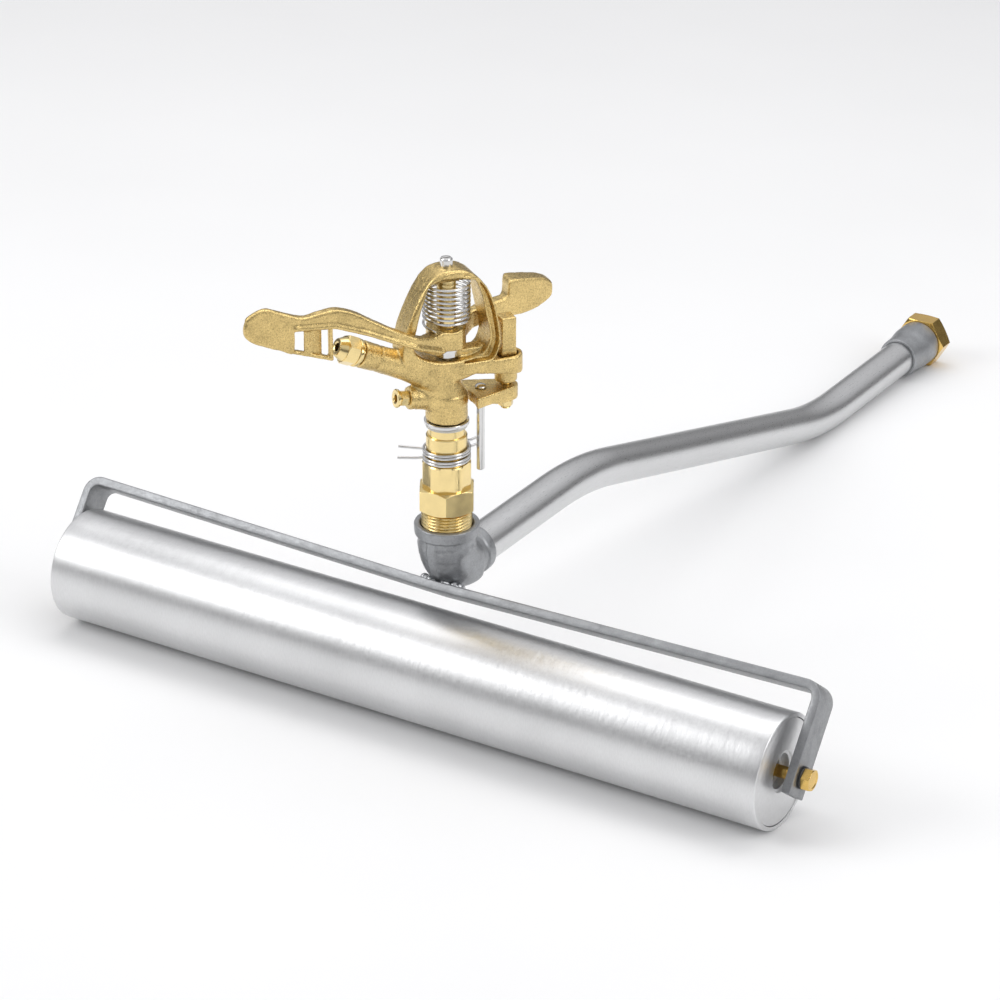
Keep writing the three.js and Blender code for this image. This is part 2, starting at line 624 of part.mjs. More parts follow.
// ---------------------------------------------------------------- hammer arm
// The arm passes the front leg of the bridge on its near side and the rear leg on its far side.
function hammerArm() {
  const hub = rod(12.6, Z_HUB_0, Z_HUB_1, 24);
  const plan = [
    [-6, 11], [8, 12.4], [28, 20.4], [44, 20.6], [62, 15.4], [80, 9], [100, 5.4], [126, 3.6],
    [136, 3], [136, -1], [126, -0.8], [100, -1.4], [80, 1], [60, 7], [44, 12.6], [29, 13],
    [23, 11.8], [12, 1], [10, -10], [-8, -12.4], [-28, -22.4], [-48, -27], [-53.5, -33.5],
    [-70, -36.5], [-83, -37.5], [-87.5, -34], [-86, -28.6], [-74, -24.4], [-52, -18.6],
    [-30, -13.6], [-23.5, -11.8], [-12, -1],
  ];
  const side = [
    [12, Z_HUB_0], [40, 263.4], [60, 271], [78, 276.4], [92, 275.4], [104, 277], [104, 262],
    [122, 268], [134.6, 275], [136, 283], [131, 290], [122, 293.6], [112, 289.6], [98, 284.6],
    [88, 286.8], [78, 288.2], [66, 286], [44, 275], [30, 267.5], [16.6, Z_HUB_1 - 0.1], [-14, Z_HUB_1],
    [-34, 264], [-49, 265.6], [-51, 274.6], [-54, 276.8], [-79, 271.4], [-85.5, 267],
    [-87.5, 261], [-84, 255.6], [-66, 251.2], [-52, 251.6], [-34, 252.6], [-14, Z_HUB_0],
  ];
  const reach = solid(plate(plan, 240, 300)).intersect(solid(slab(side, 120)));
  const rail = solid(plate([[78.6, 6.6], [106, 3.6], [106, -0.6], [78.6, 2]], 240, 300)).intersect(
    solid(slab([[77, 252.4], [106, 261.4], [106, 264], [77, 255]], 60)));
  const post = solid(plate([[78.6, 6.6], [81, 6.3], [81, 1.8], [78.6, 2]], 253.6, 279));
  const vane = solid(slab([[-6.6, 0], [6.6, 4], [6.6, 20.4], [-6.6, 19.4]], 2.2))
    .rotate([0, 0, 16])
    .translate([91, 2.6, 257.5]);
  const bore = rod(5.7, Z_HUB_0 - 1, Z_HUB_1 + 1, 16);
  return piece('hammer_arm', cut(join(hub, reach, rail, post, vane), bore), castBrass());
}

// ---------------------------------------------------------------- trip gear
// Wedge that widens from its round end at the pivot, hollowed to swing past the column.
function tripLever() {
  const inner = -14.6;
  const spread = 17;
  const outline = [...arc(PIVOT_X, 0, LEVER_END_R, 250, 110, 8), [inner, spread], [inner, -spread]];
  const under = slab([
    [-60, 190], [0, 190], [0, LEVER_0 + 2.4], [-26, LEVER_0 + 2.4], [-34, LEVER_0], [-60, LEVER_0],
  ], 60);
  const swept = [-1, -0.5, 0, 0.5, 1].map((way) => {
    const a = THREE.MathUtils.degToRad(way * TRIP_SWING);
    const x = PIVOT_X - PIVOT_X * Math.cos(a);
    return rod(14.4, 200, 220, 28).translate([x, -PIVOT_X * Math.sin(a), 0]);
  });
  const holes = join(
    atPivot(rod(3.6, 190, 230, 14)),
    rod(TRIP_PIN_R + 0.4, 190, 230, 14).translate([TRIP_PIN_X, 0, 0]),
  );
  const body = solid(plate(outline, LEVER_0, LEVER_1));
  return piece('trip_lever', cut(body, solid(under), ...swept, holes), castBrass());
}

function tripPin() {
  const pin = solid(turned([
    [0, TRIP_PIN_FOOT], [2.2, TRIP_PIN_FOOT], [TRIP_PIN_R, TRIP_PIN_FOOT + 0.9],
    [TRIP_PIN_R, LEVER_1 + GAP], [3.7, LEVER_1 + GAP], [3.4, LEVER_1 + 1.6],
    [1.6, LEVER_1 + 2.4], [0, LEVER_1 + 2.5],
  ], 14));
  return piece('trip_pin', pin.translate([TRIP_PIN_X, 0, 0]), stainless());
}

function reverseDog() {
  const z0 = POCKET_FLOOR + GAP;
  const outline = [[-5, -5.4], [4.2, -5.4], [5, -4.4], [5, 4.4], [4.2, 5.4], [-5, 5.4]];
  const body = solid(plate(outline, z0, DOG_TOP));
  return piece('reverse_dog', atPivot(cut(body, rod(PIN_BORE_R, z0 - 1, z0 + 14, 14))), castBrass());
}

function pivotBolt() {
  const shank = rod(PIN_R, LEVER_0 - 4, POCKET_FLOOR + 13, 14);
  const head = prism(6, 8.6, LEVER_0 - 5.4, LEVER_0 - 1.6, 0.4);
  return piece('pivot_bolt', atPivot(join(shank, head)), brightBrass());
}

function pivotWasher() {
  const ring = sleeve(3.6, 5, LEVER_0 - 1.3, LEVER_0 - GAP, 16);
  return piece('pivot_washer', atPivot(ring), brightBrass());
}

function fulcrumPin() {
  const slot = new THREE.BoxGeometry(12, 1.4, 3.2);
  slot.translate(0, 0, Z_PIN_TOP);
  const body = solid(turned([
    [0, 235], [PIN_R, 235], [PIN_R, Z_BRIDGE_TOP + 0.1], [4.1, Z_BRIDGE_TOP + 0.1],
    [4.1, Z_PIN_TOP - 0.8], [3.4, Z_PIN_TOP], [0, Z_PIN_TOP],
  ], 16));
  return piece('fulcrum_pin', cut(body, solid(slot)), stainless());
}

// ---------------------------------------------------------------- assembly
const mirror = (manifold) => manifold.scale([-1, 1, 1]);
const group = new THREE.Group();

const roller = new THREE.Group();
roller.position.z = ROLLER_R;
roller.add(rollerShell());

const chassis = new THREE.Group(); // everything carried by the yoke
const yokeFrame = new THREE.Group();
yokeFrame.position.z = ROLLER_R;
yokeFrame.rotation.x = -YOKE_LEAN;
yokeFrame.add(yoke());

const discFace = ROLLER_LENGTH / 2 - DISC_RECESS;
const armFace = YOKE_HALF - discFace;
for (const [side, flip] of [['right', (m) => m], ['left', mirror]]) {
  const at = (m) => flip(alongX(m, discFace));
  roller.add(piece(`roller_end_disc_${side}`, at(endDisc()), zincSteel()));
  roller.add(piece(`hub_bush_${side}`, at(hubBush()), polymer()));
  const seat = armFace + GAP;
  const washer = sleeve(AXLE_R + 0.35, 7.2, seat, seat + AXLE_WASHER, 18);
  yokeFrame.add(piece(`axle_washer_${side}`, at(washer), darkSteel()));
  yokeFrame.add(piece(`axle_bolt_${side}`, at(axleBolt(seat + AXLE_WASHER + GAP)), brightBrass()));
}
chassis.add(yokeFrame);

const fitting = new THREE.Group();
fitting.position.set(0, HEAD_Y, PIPE_Z);
fitting.add(elbow());
chassis.add(fitting, weldBead(), pipe(), endSocket(), hoseInletBush(), hoseSeal());

const head = new THREE.Group();
head.position.y = HEAD_Y;
head.rotation.z = JET_POLAR;
const sealTop = Z_ELBOW_TOP - NIPPLE_ROOT_DEPTH - GAP;
head.add(
  bearingNipple(),
  stopRing('stop_ring_lower', 169.6, [168.9, 171], -26, -160),
  stopRing('stop_ring_upper', 174.6, [174.6, 175.4], -35, -159),
  piece('bearing_seal', sleeve(10.2, 13, sealTop - 2.7, sealTop, 20), rubber()),
  bearingTube(),
  piece('bearing_washer', sleeve(10.3, 13.6, Z_NIPPLE_1 + GAP, Z_NIPPLE_1 + 1.7, 20), polymer()),
  piece('dust_washer', sleeve(10.3, 14.6, Z_NIPPLE_1 + 2, Z_COLUMN_0 - GAP, 24), stainless()),
  spring('bearing_spring', 11, 0.55, Z_COLUMN_0 + 0.6, Z_COLUMN_0 + 8.4, 4),
  headBody(),
  mainNozzle(),
  straightener(),
  spreaderNozzle(),
  hammerArm(),
  piece('arm_bush', sleeve(PIN_BORE_R, 5.3, Z_HUB_0, Z_HUB_1, 16), polymer()),
  piece('arm_washer', sleeve(PIN_BORE_R, 8, 242.4, Z_HUB_0 - GAP, 20), stainless()),
  piece('pin_sleeve', sleeve(PIN_BORE_R, 6.2, Z_HUB_1 + GAP, Z_BRIDGE_TOP - 7, 20), brightBrass()),
  spring('hammer_spring', SPRING_R, SPRING_WIRE_R, Z_HUB_1 + 1.3, Z_BRIDGE_TOP - 10.4, 9.5),
  fulcrumPin(),
  tripLever(),
  tripPin(),
  pivotBolt(),
  pivotWasher(),
  reverseDog(),
);
chassis.add(head);

// The yoke and all it carries lean forward until the hose inlet touches the ground.
const reach = SOCKET_Y1 + GAP;
const low = PIPE_END_Z - INLET_HEX_AF / 2 - ROLLER_R;
const lean = new THREE.Group();
lean.position.z = ROLLER_R;
lean.rotation.x = Math.asin(-ROLLER_R / Math.hypot(reach, low)) - Math.atan2(low, reach);
chassis.position.z = -ROLLER_R;
lean.add(chassis);

// Origin: on the ground, under the middle of the outer box.
group.add(roller, lean);
group.updateMatrixWorld(true);
const box = new THREE.Box3().setFromObject(group, true);
const middle = box.getCenter(new THREE.Vector3());
group.position.set(-middle.x, -middle.y, -box.min.z);

export default group;
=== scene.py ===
"""Looks of the roller-base impact sprinkler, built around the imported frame.

Sizes are millimetres in each piece's own local frame; add() turns them into metres.
"""
import json
import math

import bpy
import numpy as np
import openvdb
from mathutils import Matrix, Quaternion, Vector


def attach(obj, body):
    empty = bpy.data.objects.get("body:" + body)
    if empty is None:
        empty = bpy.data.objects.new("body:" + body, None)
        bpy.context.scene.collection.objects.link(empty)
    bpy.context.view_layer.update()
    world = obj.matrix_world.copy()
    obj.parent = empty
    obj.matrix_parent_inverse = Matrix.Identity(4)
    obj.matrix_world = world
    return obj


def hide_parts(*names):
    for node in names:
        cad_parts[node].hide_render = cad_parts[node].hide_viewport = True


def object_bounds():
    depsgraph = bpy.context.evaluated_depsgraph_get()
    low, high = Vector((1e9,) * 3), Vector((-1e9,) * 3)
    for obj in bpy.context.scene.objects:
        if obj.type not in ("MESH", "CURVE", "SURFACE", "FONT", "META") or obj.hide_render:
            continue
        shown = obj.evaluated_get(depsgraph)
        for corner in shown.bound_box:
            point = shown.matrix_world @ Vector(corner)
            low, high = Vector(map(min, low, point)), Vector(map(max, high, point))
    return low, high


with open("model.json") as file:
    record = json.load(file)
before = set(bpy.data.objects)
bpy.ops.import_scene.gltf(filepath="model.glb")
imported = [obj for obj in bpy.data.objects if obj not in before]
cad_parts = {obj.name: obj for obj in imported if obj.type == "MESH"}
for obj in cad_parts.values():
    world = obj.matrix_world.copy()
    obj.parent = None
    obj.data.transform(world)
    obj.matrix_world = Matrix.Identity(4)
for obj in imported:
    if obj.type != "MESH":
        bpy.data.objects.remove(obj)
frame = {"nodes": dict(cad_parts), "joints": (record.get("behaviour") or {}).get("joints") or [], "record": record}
cad_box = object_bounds()

MM = 0.001
FULL = 2 * math.pi

# ---------------------------------------------------------------- sizes shared with the frame
ROLLER_R = 38.05
ROLLER_LENGTH = 538
ROLLER_WALL = 2.9
DISC_RECESS = 0.4
HUB_BORE_R = 8.3
YOKE_WIDTH = 23.5
YOKE_THICK = 6
YOKE_GAP = 7
AXLE_HOLE_R = 4.35
YOKE_REACH = 58.6
YOKE_DIP = 5.5
YOKE_TAIL = 12.9
YOKE_BEND_R = 12
YOKE_LEAN = math.radians(37)
YOKE_HALF = ROLLER_LENGTH / 2 + YOKE_GAP + YOKE_THICK
HEAD_Y = 37.4
PIPE_Z = 90.8
PIPE_R = 13.45
PIPE_BORE_R = 10.8
PIPE_BEND_R = 280
PIPE_KNEES = (208, 562)
PIPE_END_Z = -9
SOCKET_Y = (704.5, 742)
ELBOW_TOP = 33.5
ELBOW_SIDE = 35
ELBOW_R = 18.6
BEND_R = 19
WATERWAY_R = 11
THREAD_R = 16.6
PITCH = 2.31
Z_THREAD = PIPE_Z + ELBOW_TOP
Z_HEX = (134.8, 151)
HEX_ACROSS = 34.6
HEX_TURN = 0.63
SLEEVE_ACROSS = 29.4
SLEEVE_TURN = 0.105
BEARING_BORE_R = 10.3
Z_FLATS = 168.3
Z_SEAT = 187
Z_NIPPLE = 192.6
Z_COLUMN = 197.8
Z_BARREL = 225.6
Z_HUB = (248.6, 261.6)
Z_BRIDGE = 302
Z_PIN = 308.2
PIN_R = 3.05
PIN_BORE_R = 3.4
SPRING_R = 14.6
SPRING_WIRE_R = 0.85
SLEEVE_R = 6.2
JET_RISE = math.radians(24.5)
JET_BORE_R = 6.4
SPREAD_BORE_R = 3.5
SPREAD_RISE = math.radians(7)
SPREAD_Z = 213
BARREL_END = 64.5
SPREAD_END = 27
PIVOT_X = -41
TRIP_PIN_X = -23.5
LEVER_Z = (205.5, 215)
LUG_R = 10.7
LUG_TOP = 237
POCKET_R = 7.9
POCKET_FLOOR = 229
POCKET_FRONT = -34.2
PIVOT_BORE_R = 3.4
TRIP_SWING = math.radians(12)
BOSS_FOOT = 217.6
HEAD_JOINT_Z = 200  # height on the head axis of the head joint's own point

# ---------------------------------------------------------------- local frames from the joints
joints = {j["name"]: j for j in frame["joints"]}


def spot(name):
    return Vector(joints[name]["pos_m"])


def axes(x, y, z, origin):
    m = Matrix((x, y, z)).transposed().to_4x4()
    m.translation = origin
    return m


UP = Vector(joints["head_turn"]["axis"]).normalized()
RIGHT = Vector((1, 0, 0))
CHASSIS = axes(RIGHT, UP.cross(RIGHT), UP, spot("roller_spin") - UP * ROLLER_R * MM)
head_origin = spot("head_turn") - UP * HEAD_JOINT_Z * MM
to_pivot = spot("trip_swing") - head_origin
JET = -(to_pivot - UP * to_pivot.dot(UP)).normalized()
HEAD = axes(JET, UP.cross(JET), UP, head_origin)
ROLLER = Matrix.Translation(spot("roller_spin"))


def shift(x, y, z):
    return Matrix.Translation(Vector((x, y, z)) * MM)


YOKE = CHASSIS @ shift(0, 0, ROLLER_R) @ Matrix.Rotation(-YOKE_LEAN, 4, "X")
ELBOW = CHASSIS @ shift(0, HEAD_Y, PIPE_Z)
ALONG_X = Matrix.Rotation(math.pi / 2, 4, "Y")
ALONG_MINUS_X = Matrix.Rotation(-math.pi / 2, 4, "Y")
ALONG_Y = Matrix.Rotation(-math.pi / 2, 4, "X")


def in_jet(rise, z):
    return HEAD @ shift(0, 0, z) @ Matrix.Rotation(math.pi / 2 - rise, 4, "Y")


# ---------------------------------------------------------------- mesh helpers
def add(name, verts, faces, place, body, slot, replaces=(), sharp=32):
    """A mesh of local millimetres, set in place, given its slot's material, joined to its body, and hiding the CAD
    nodes it replaces.
    """
    mesh = bpy.data.meshes.new(name)
    mesh.from_pydata((np.asarray(verts, float) * MM).tolist(), [], [list(f) for f in faces])
    mesh.validate()
    mesh.transform(place)
    mesh.polygons.foreach_set("use_smooth", [True] * len(mesh.polygons))
    mesh.set_sharp_from_angle(angle=math.radians(sharp))
    mesh.update()
    obj = bpy.data.objects.new(name, mesh)
    bpy.context.scene.collection.objects.link(obj)
    obj.data.materials.append(MATERIAL[slot])
    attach(obj, body)
    if replaces:
        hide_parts(*replaces)
    return obj


def turned(rows, segments=96, turn=0.0, ring=False):
    """Vertices and faces of rows (z, radius or radius(theta)) turned about Z. A ring closes on itself."""
    theta = turn + np.arange(segments) * FULL / segments
    verts, faces, starts = [], [], []
    for z, r in rows:
        radius = r(theta) if callable(r) else np.full(segments, float(r))
        starts.append((len(verts), radius.max() < 1e-6))
        if starts[-1][1]:
            verts.append((0, 0, z))
            continue
        height = z(theta) if callable(z) else np.full(segments, float(z))
        verts += list(zip(radius * np.cos(theta), radius * np.sin(theta), height))
    pairs = list(zip(starts, starts[1:]))
    if ring:
        pairs.append((starts[-1], starts[0]))
    for (a, a_pole), (b, b_pole) in pairs:
        for i in range(segments):
            j = (i + 1) % segments
            if a_pole and b_pole:
                continue
            if a_pole:
                faces.append((a, b + j, b + i))
            elif b_pole:
                faces.append((a + i, a + j, b))
            else:
                faces.append((a + i, a + j, b + j, b + i))
    return verts, faces


def hexagon(across, turn=0.0, limit=None):
    """Radius of a hexagon at each angle, flats centred on turn, and never more than limit."""
    def radius(theta):
        local = (theta - turn + math.pi / 6) % (math.pi / 3) - math.pi / 6
        r = across / 2 / np.cos(local)
        return r if limit is None else np.minimum(r, limit)
    return radius


def hex_rows(across, z0, z1, turn, lower=True, slope=0.55, steps=8):
    """Rows of a hexagon whose corners are turned off at its upper end, and at its lower end if asked."""
    flat = across / 2
    corner = flat / math.cos(math.pi / 6)
    drop = (corner - flat) * slope
    rise = [i / steps for i in range(steps + 1)]
    low = [(z0 + drop * t, hexagon(across, turn, flat + (corner - flat) * t)) for t in rise]
    high = [(z1 - drop * t, hexagon(across, turn, flat + (corner - flat) * t)) for t in rise[::-1]]
    rows = low if lower else [(z0, hexagon(across, turn))]
    return rows + high


def thread_rows(radius, depth, z0, z1, per_turn=10):
    """Rows of a helical thread between z0 and z1."""
    def at(z):
        def r(theta):
            phase = ((z - z0) / PITCH - theta / FULL) % 1
            ridge = 1 - np.abs(phase * 2 - 1)
            return radius - depth * (1 - np.clip(ridge * 1.25 - 0.12, 0, 1))
        return r
    count = max(2, round((z1 - z0) / PITCH * per_turn))
    return [(z0 + (z1 - z0) * i / count, at(z0 + (z1 - z0) * i / count)) for i in range(count + 1)]


def arc_rows(cz, cr, radius, start, end, count=5):
    """Rows along a round corner in the radius-height plane, angles in degrees from +radius."""
    steps = [math.radians(start + (end - start) * i / count) for i in range(count + 1)]
    return [(cz + radius * math.sin(a), cr + radius * math.cos(a)) for a in steps]


def tube(path, radius, sides=12, bore=0.0):
    """A round tube along a path of points, with flat ends, hollow if bore is given."""
    p = np.asarray(path, float)
    tangent = np.gradient(p, axis=0)
    tangent /= np.linalg.norm(tangent, axis=1)[:, None]
    seed = np.array([1.0, 0, 0]) if abs(tangent[0][0]) < 0.8 else np.array([0, 0, 1.0])
    normal = np.cross(tangent[0], seed)
    verts, faces = [], []
    angle = np.arange(sides) * FULL / sides
    layers = [radius, bore] if bore else [radius]
    frames = []
    for t in tangent:
        normal = normal - t * normal.dot(t)
        normal /= np.linalg.norm(normal)
        frames.append((normal.copy(), np.cross(t, normal)))
    for r in layers:
        for centre, (n, b) in zip(p, frames):
            verts += [tuple(centre + r * (math.cos(a) * n + math.sin(a) * b)) for a in angle]
    count = len(p)
    for layer in range(len(layers)):
        base = layer * count * sides
        for k in range(count - 1):
            for i in range(sides):
                j = (i + 1) % sides
                quad = (base + k * sides + i, base + k * sides + j,
                        base + (k + 1) * sides + j, base + (k + 1) * sides + i)
                faces.append(quad if layer == 0 else quad[::-1])
    last = (count - 1) * sides
    if bore:
        inner = count * sides
        for i in range(sides):
            j = (i + 1) % sides
            faces.append((j, i, inner + i, inner + j))
            faces.append((last + i, last + j, inner + last + j, inner + last + i))
    else:
        faces.append(tuple(reversed(range(sides))))
        faces.append(tuple(range(last, last + sides)))
    return verts, faces


def helix(radius, z0, z1, turns, start):
    """Points along a helix, 40 to a turn."""
    count = round(turns * 40)
    t = np.linspace(0, 1, count + 1)
    a = start + FULL * turns * t
    return np.column_stack([radius * np.cos(a), radius * np.sin(a), z0 + (z1 - z0) * t])


# ---------------------------------------------------------------- solids as distance fields
def smin(a, b, k):
    """The lesser of two distances, blended over a width k."""
    h = np.clip(0.5 + 0.5 * (b - a) / k, 0, 1)
    return b + (a - b) * h - k * h * (1 - h)


def smax(a, b, k):
    return -smin(-a, -b, k)


def slab(flat, along, half, r):
    """A flat distance thickened to +-half along another direction, with edges of radius r."""
    a = flat + r
    b = np.abs(along) - half + r
    outside = np.hypot(np.maximum(a, 0), np.maximum(b, 0))
    return np.minimum(np.maximum(a, b), 0) + outside - r


def polygon(u, v, points):
    """Signed distance to a closed outline, negative inside."""
    u, v = np.broadcast_arrays(u, v)
    best = np.full(u.shape, 1e9)
    inside = np.zeros(u.shape, bool)
    for (ax, ay), (bx, by) in zip(points, points[1:] + points[:1]):
        ex, ey = bx - ax, by - ay
        wx, wy = u - ax, v - ay
        t = np.clip((wx * ex + wy * ey) / max(ex * ex + ey * ey, 1e-12), 0, 1)
        best = np.minimum(best, (wx - ex * t) ** 2 + (wy - ey * t) ** 2)
        crosses = (ay > v) != (by > v)
        if ey:
            inside ^= crosses & (u < ax + (v - ay) * ex / ey)
    return np.where(inside, -1, 1) * np.sqrt(best)


def spline(points, per=6):
    """A closed smooth outline through a few points."""
    p = np.array(points, float)
    out = []
    for i in range(len(p)):
        a, b, c, d = p[i - 1], p[i], p[(i + 1) % len(p)], p[(i + 2) % len(p)]
        for s in range(per):
            t = s / per
            out.append(tuple(0.5 * (2 * b + (c - a) * t + (2 * a - 5 * b + 4 * c - d) * t * t
                                    + (3 * b - a - 3 * c + d) * t ** 3)))
    return out


def spun(rho, s, profile, k=1.0):
    """A body of revolution: profile is (distance along, radius), eased by k at its ends."""
    at, radius = zip(*profile)
    return smax(rho - np.interp(s, at, radius), np.maximum(at[0] - s, s - at[-1]), k)


def block(x, y, z, low, high, r):
    """A box between two corners, with edges of radius r."""
    half = [(b - a) / 2 for a, b in zip(low, high)]
    q = [np.abs(v - (a + b) / 2) - h + r for v, a, b, h in zip((x, y, z), low, high, half)]
    outside = np.sqrt(sum(np.maximum(v, 0) ** 2 for v in q))
    return outside + np.minimum(np.maximum(np.maximum(q[0], q[1]), q[2]), 0) - r


def lumps(x, y, z, size):
    """Gentle unevenness of a casting, between about -1 and 1."""
    a, b, c = x / size, y / size, z / size
    first = np.sin(a * 2.1 + 1.3 * np.sin(b * 1.7)) * np.sin(b * 2.3 + 1.1 * np.sin(c * 1.9))
    second = np.sin(c * 2.7 + 1.2 * np.sin(a * 2.2)) * np.sin(a * 4.1 + b * 3.3 + c * 3.7)
    return (first + second) / 2


def soften(d):
    """A slight blur of the sampled distances along each axis."""
    for axis in range(3):
        d = np.moveaxis(d, axis, 0)
        mid = d.copy()
        mid[1:-1] = (d[:-2] + 2 * d[1:-1] + d[2:]) / 4
        d = np.moveaxis(mid, 0, axis)
    return d


def cast(field, low, high, voxel):
    """Vertices and quads of a distance field's surface inside a box."""
    low = np.array(low, float) - 2 * voxel
    counts = [int(math.ceil((h + 2 * voxel - l) / voxel)) + 1 for l, h in zip(low, high)]
    x, y, z = (l + voxel * np.arange(n) for l, n in zip(low, counts))
    d = field(x[:, None, None], y[None, :, None], z[None, None, :])
    d = np.ascontiguousarray(soften(np.broadcast_to(d, counts).astype(np.float32)))
    grid = openvdb.FloatGrid(10.0)
    grid.gridClass = openvdb.GridClass.LEVEL_SET
    grid.copyFromArray(d)
    points, quads = grid.convertToQuads(0.0)
    verts = low + points * voxel
    a, b, c = (verts[quads[:, i]] for i in range(3))
    if np.einsum("ij,ij->i", a, np.cross(b, c)).sum() < 0:
        quads = quads[:, ::-1]
    return verts, quads


# ---------------------------------------------------------------- materials
class Nodes:
    """Short hand for building one procedural material."""

    def __init__(self, name):
        self.material = bpy.data.materials.new(name)
        self.material.use_nodes = True
        self.tree = self.material.node_tree
        self.shader = self.tree.nodes["Principled BSDF"]
        self.coords = self.tree.nodes.new("ShaderNodeTexCoord").outputs["Object"]

    def link(self, a, b):
        self.tree.links.new(a, b)

    def noise(self, scale, detail=4.0, stretch=(1, 1, 1), roughness=0.55):
        mapping = self.tree.nodes.new("ShaderNodeMapping")
        mapping.inputs["Scale"].default_value = stretch
        self.link(self.coords, mapping.inputs["Vector"])
        node = self.tree.nodes.new("ShaderNodeTexNoise")
        node.inputs["Scale"].default_value = scale
        node.inputs["Detail"].default_value = detail
        node.inputs["Roughness"].default_value = roughness
        self.link(mapping.outputs["Vector"], node.inputs["Vector"])
        return node.outputs["Fac"]

    def ramp(self, value, stops):
        node = self.tree.nodes.new("ShaderNodeValToRGB")
        while len(node.color_ramp.elements) < len(stops):
            node.color_ramp.elements.new(0.5)
        for element, (position, colour) in zip(node.color_ramp.elements, stops):
            element.position = position
            single = isinstance(colour, (int, float))
            element.color = (colour, colour, colour, 1) if single else (*colour, 1)
        self.link(value, node.inputs["Fac"])
        return node.outputs["Color"]

    def blend(self, mode, factor, a, b):
        node = self.tree.nodes.new("ShaderNodeMix")
        node.data_type = "RGBA"
        node.blend_type = mode
        node.inputs["Factor"].default_value = factor
        self.link(a, node.inputs["A"])
        self.link(b, node.inputs["B"])
        return node.outputs["Result"]

    def pointiness(self):
        return self.tree.nodes.new("ShaderNodeNewGeometry").outputs["Pointiness"]

    def bump(self, value, strength, distance, before=None):
        node = self.tree.nodes.new("ShaderNodeBump")
        node.inputs["Strength"].default_value = strength
        node.inputs["Distance"].default_value = distance
        self.link(value, node.inputs["Height"])
        if before is not None:
            self.link(before, node.inputs["Normal"])
        return node.outputs["Normal"]

    def done(self, colour, rough, normal=None, metallic=1.0):
        self.link(colour, self.shader.inputs["Base Color"])
        self.link(rough, self.shader.inputs["Roughness"])
        if normal is not None:
            self.link(normal, self.shader.inputs["Normal"])
        self.shader.inputs["Metallic"].default_value = metallic
        return self.material


def grey(value, tint=0.0):
    """A grey that leans to blue by tint."""
    return (value, value * (1 + tint * 0.4), value * (1 + tint))


def scaled(colour, factor):
    return tuple(c * factor for c in colour)


def cast_metal(name, colour, rough, grain, metallic=1.0):
    """Sand-cast surface: fine grain, slow tone changes, and painted shade that darkens hollows, leaving edges
    brightest.
    """
    n = Nodes(name)
    tone = n.ramp(n.noise(90, 5), [(0.3, scaled(colour, 0.84)), (0.7, scaled(colour, 1.1))])
    speck = n.ramp(n.noise(950, 4, roughness=0.7), [(0.38, 0.55), (0.54, 1.0)])
    # painted shade: low pointiness darkens hollows and creases where shade falls, and flat faces a little, so
    # edges stay brightest
    painted_hollow_shade = n.ramp(n.pointiness(), [(0.42, 0.55), (0.5, 0.93), (0.58, 1.0)])
    worn = n.blend("MULTIPLY", min(0.9, grain), tone, speck)
    # the painted shade of hollows is multiplied into the cast colour
    final = n.blend("MULTIPLY", 0.8, worn, painted_hollow_shade)
    roughness = n.ramp(n.noise(700, 4), [(0.3, rough - 0.1), (0.75, rough + 0.12)])
    normal = n.bump(n.noise(1100, 6, roughness=0.7), grain, 0.0004)
    normal = n.bump(n.noise(240, 3), 0.35, 0.0006, normal)
    return n.done(final, roughness, normal, metallic)


def machined(name, colour, rough):
    """Turned or drawn metal: fine tool marks across the upright, and slight tarnish."""
    n = Nodes(name)
    tarnish = n.ramp(n.noise(70, 4), [(0.3, scaled(colour, 0.9)), (0.7, scaled(colour, 1.06))])
    marks = n.noise(420, 3, (1, 1, 14))
    final = n.blend("MULTIPLY", 0.35, tarnish, n.ramp(marks, [(0.3, 0.8), (0.7, 1.0)]))
    roughness = n.ramp(n.noise(160, 4), [(0.3, rough * 0.8), (0.75, rough * 1.35)])
    return n.done(final, roughness, n.bump(marks, 0.12, 0.0001))


def brushed(name, colour, rough, scale, streak, strength, depth):
    """Brushed plate: streaks drawn out by the streak scales, and soft clouds of sheen."""
    n = Nodes(name)
    fine = n.noise(scale * 6, 4, streak, 0.7)
    broad = n.noise(5, 3, (3, 1, 1))
    tone = n.ramp(broad, [(0.3, scaled(colour, 0.94)), (0.7, scaled(colour, 1.04))])
    final = n.blend("MULTIPLY", 0.5, tone, n.ramp(fine, [(0.3, 0.82), (0.7, 1.0)]))
    roughness = n.ramp(fine, [(0.25, rough - 0.06), (0.75, rough + 0.09)])
    waves = n.bump(n.noise(scale, 5, streak, 0.6), strength, depth)
    return n.done(final, roughness, n.bump(fine, 0.3, 0.00006, waves))


def plain(name, colour, rough):
    """Rubber or plastic with a faint moulded grain."""
    n = Nodes(name)
    tone = n.ramp(n.noise(200, 4), [(0.3, scaled(colour, 0.9)), (0.7, scaled(colour, 1.05))])
    roughness = n.ramp(n.noise(600, 3), [(0.3, rough - 0.08), (0.7, rough + 0.08)])
    return n.done(tone, roughness, n.bump(n.noise(1800, 4), 0.3, 0.0001), 0.0)


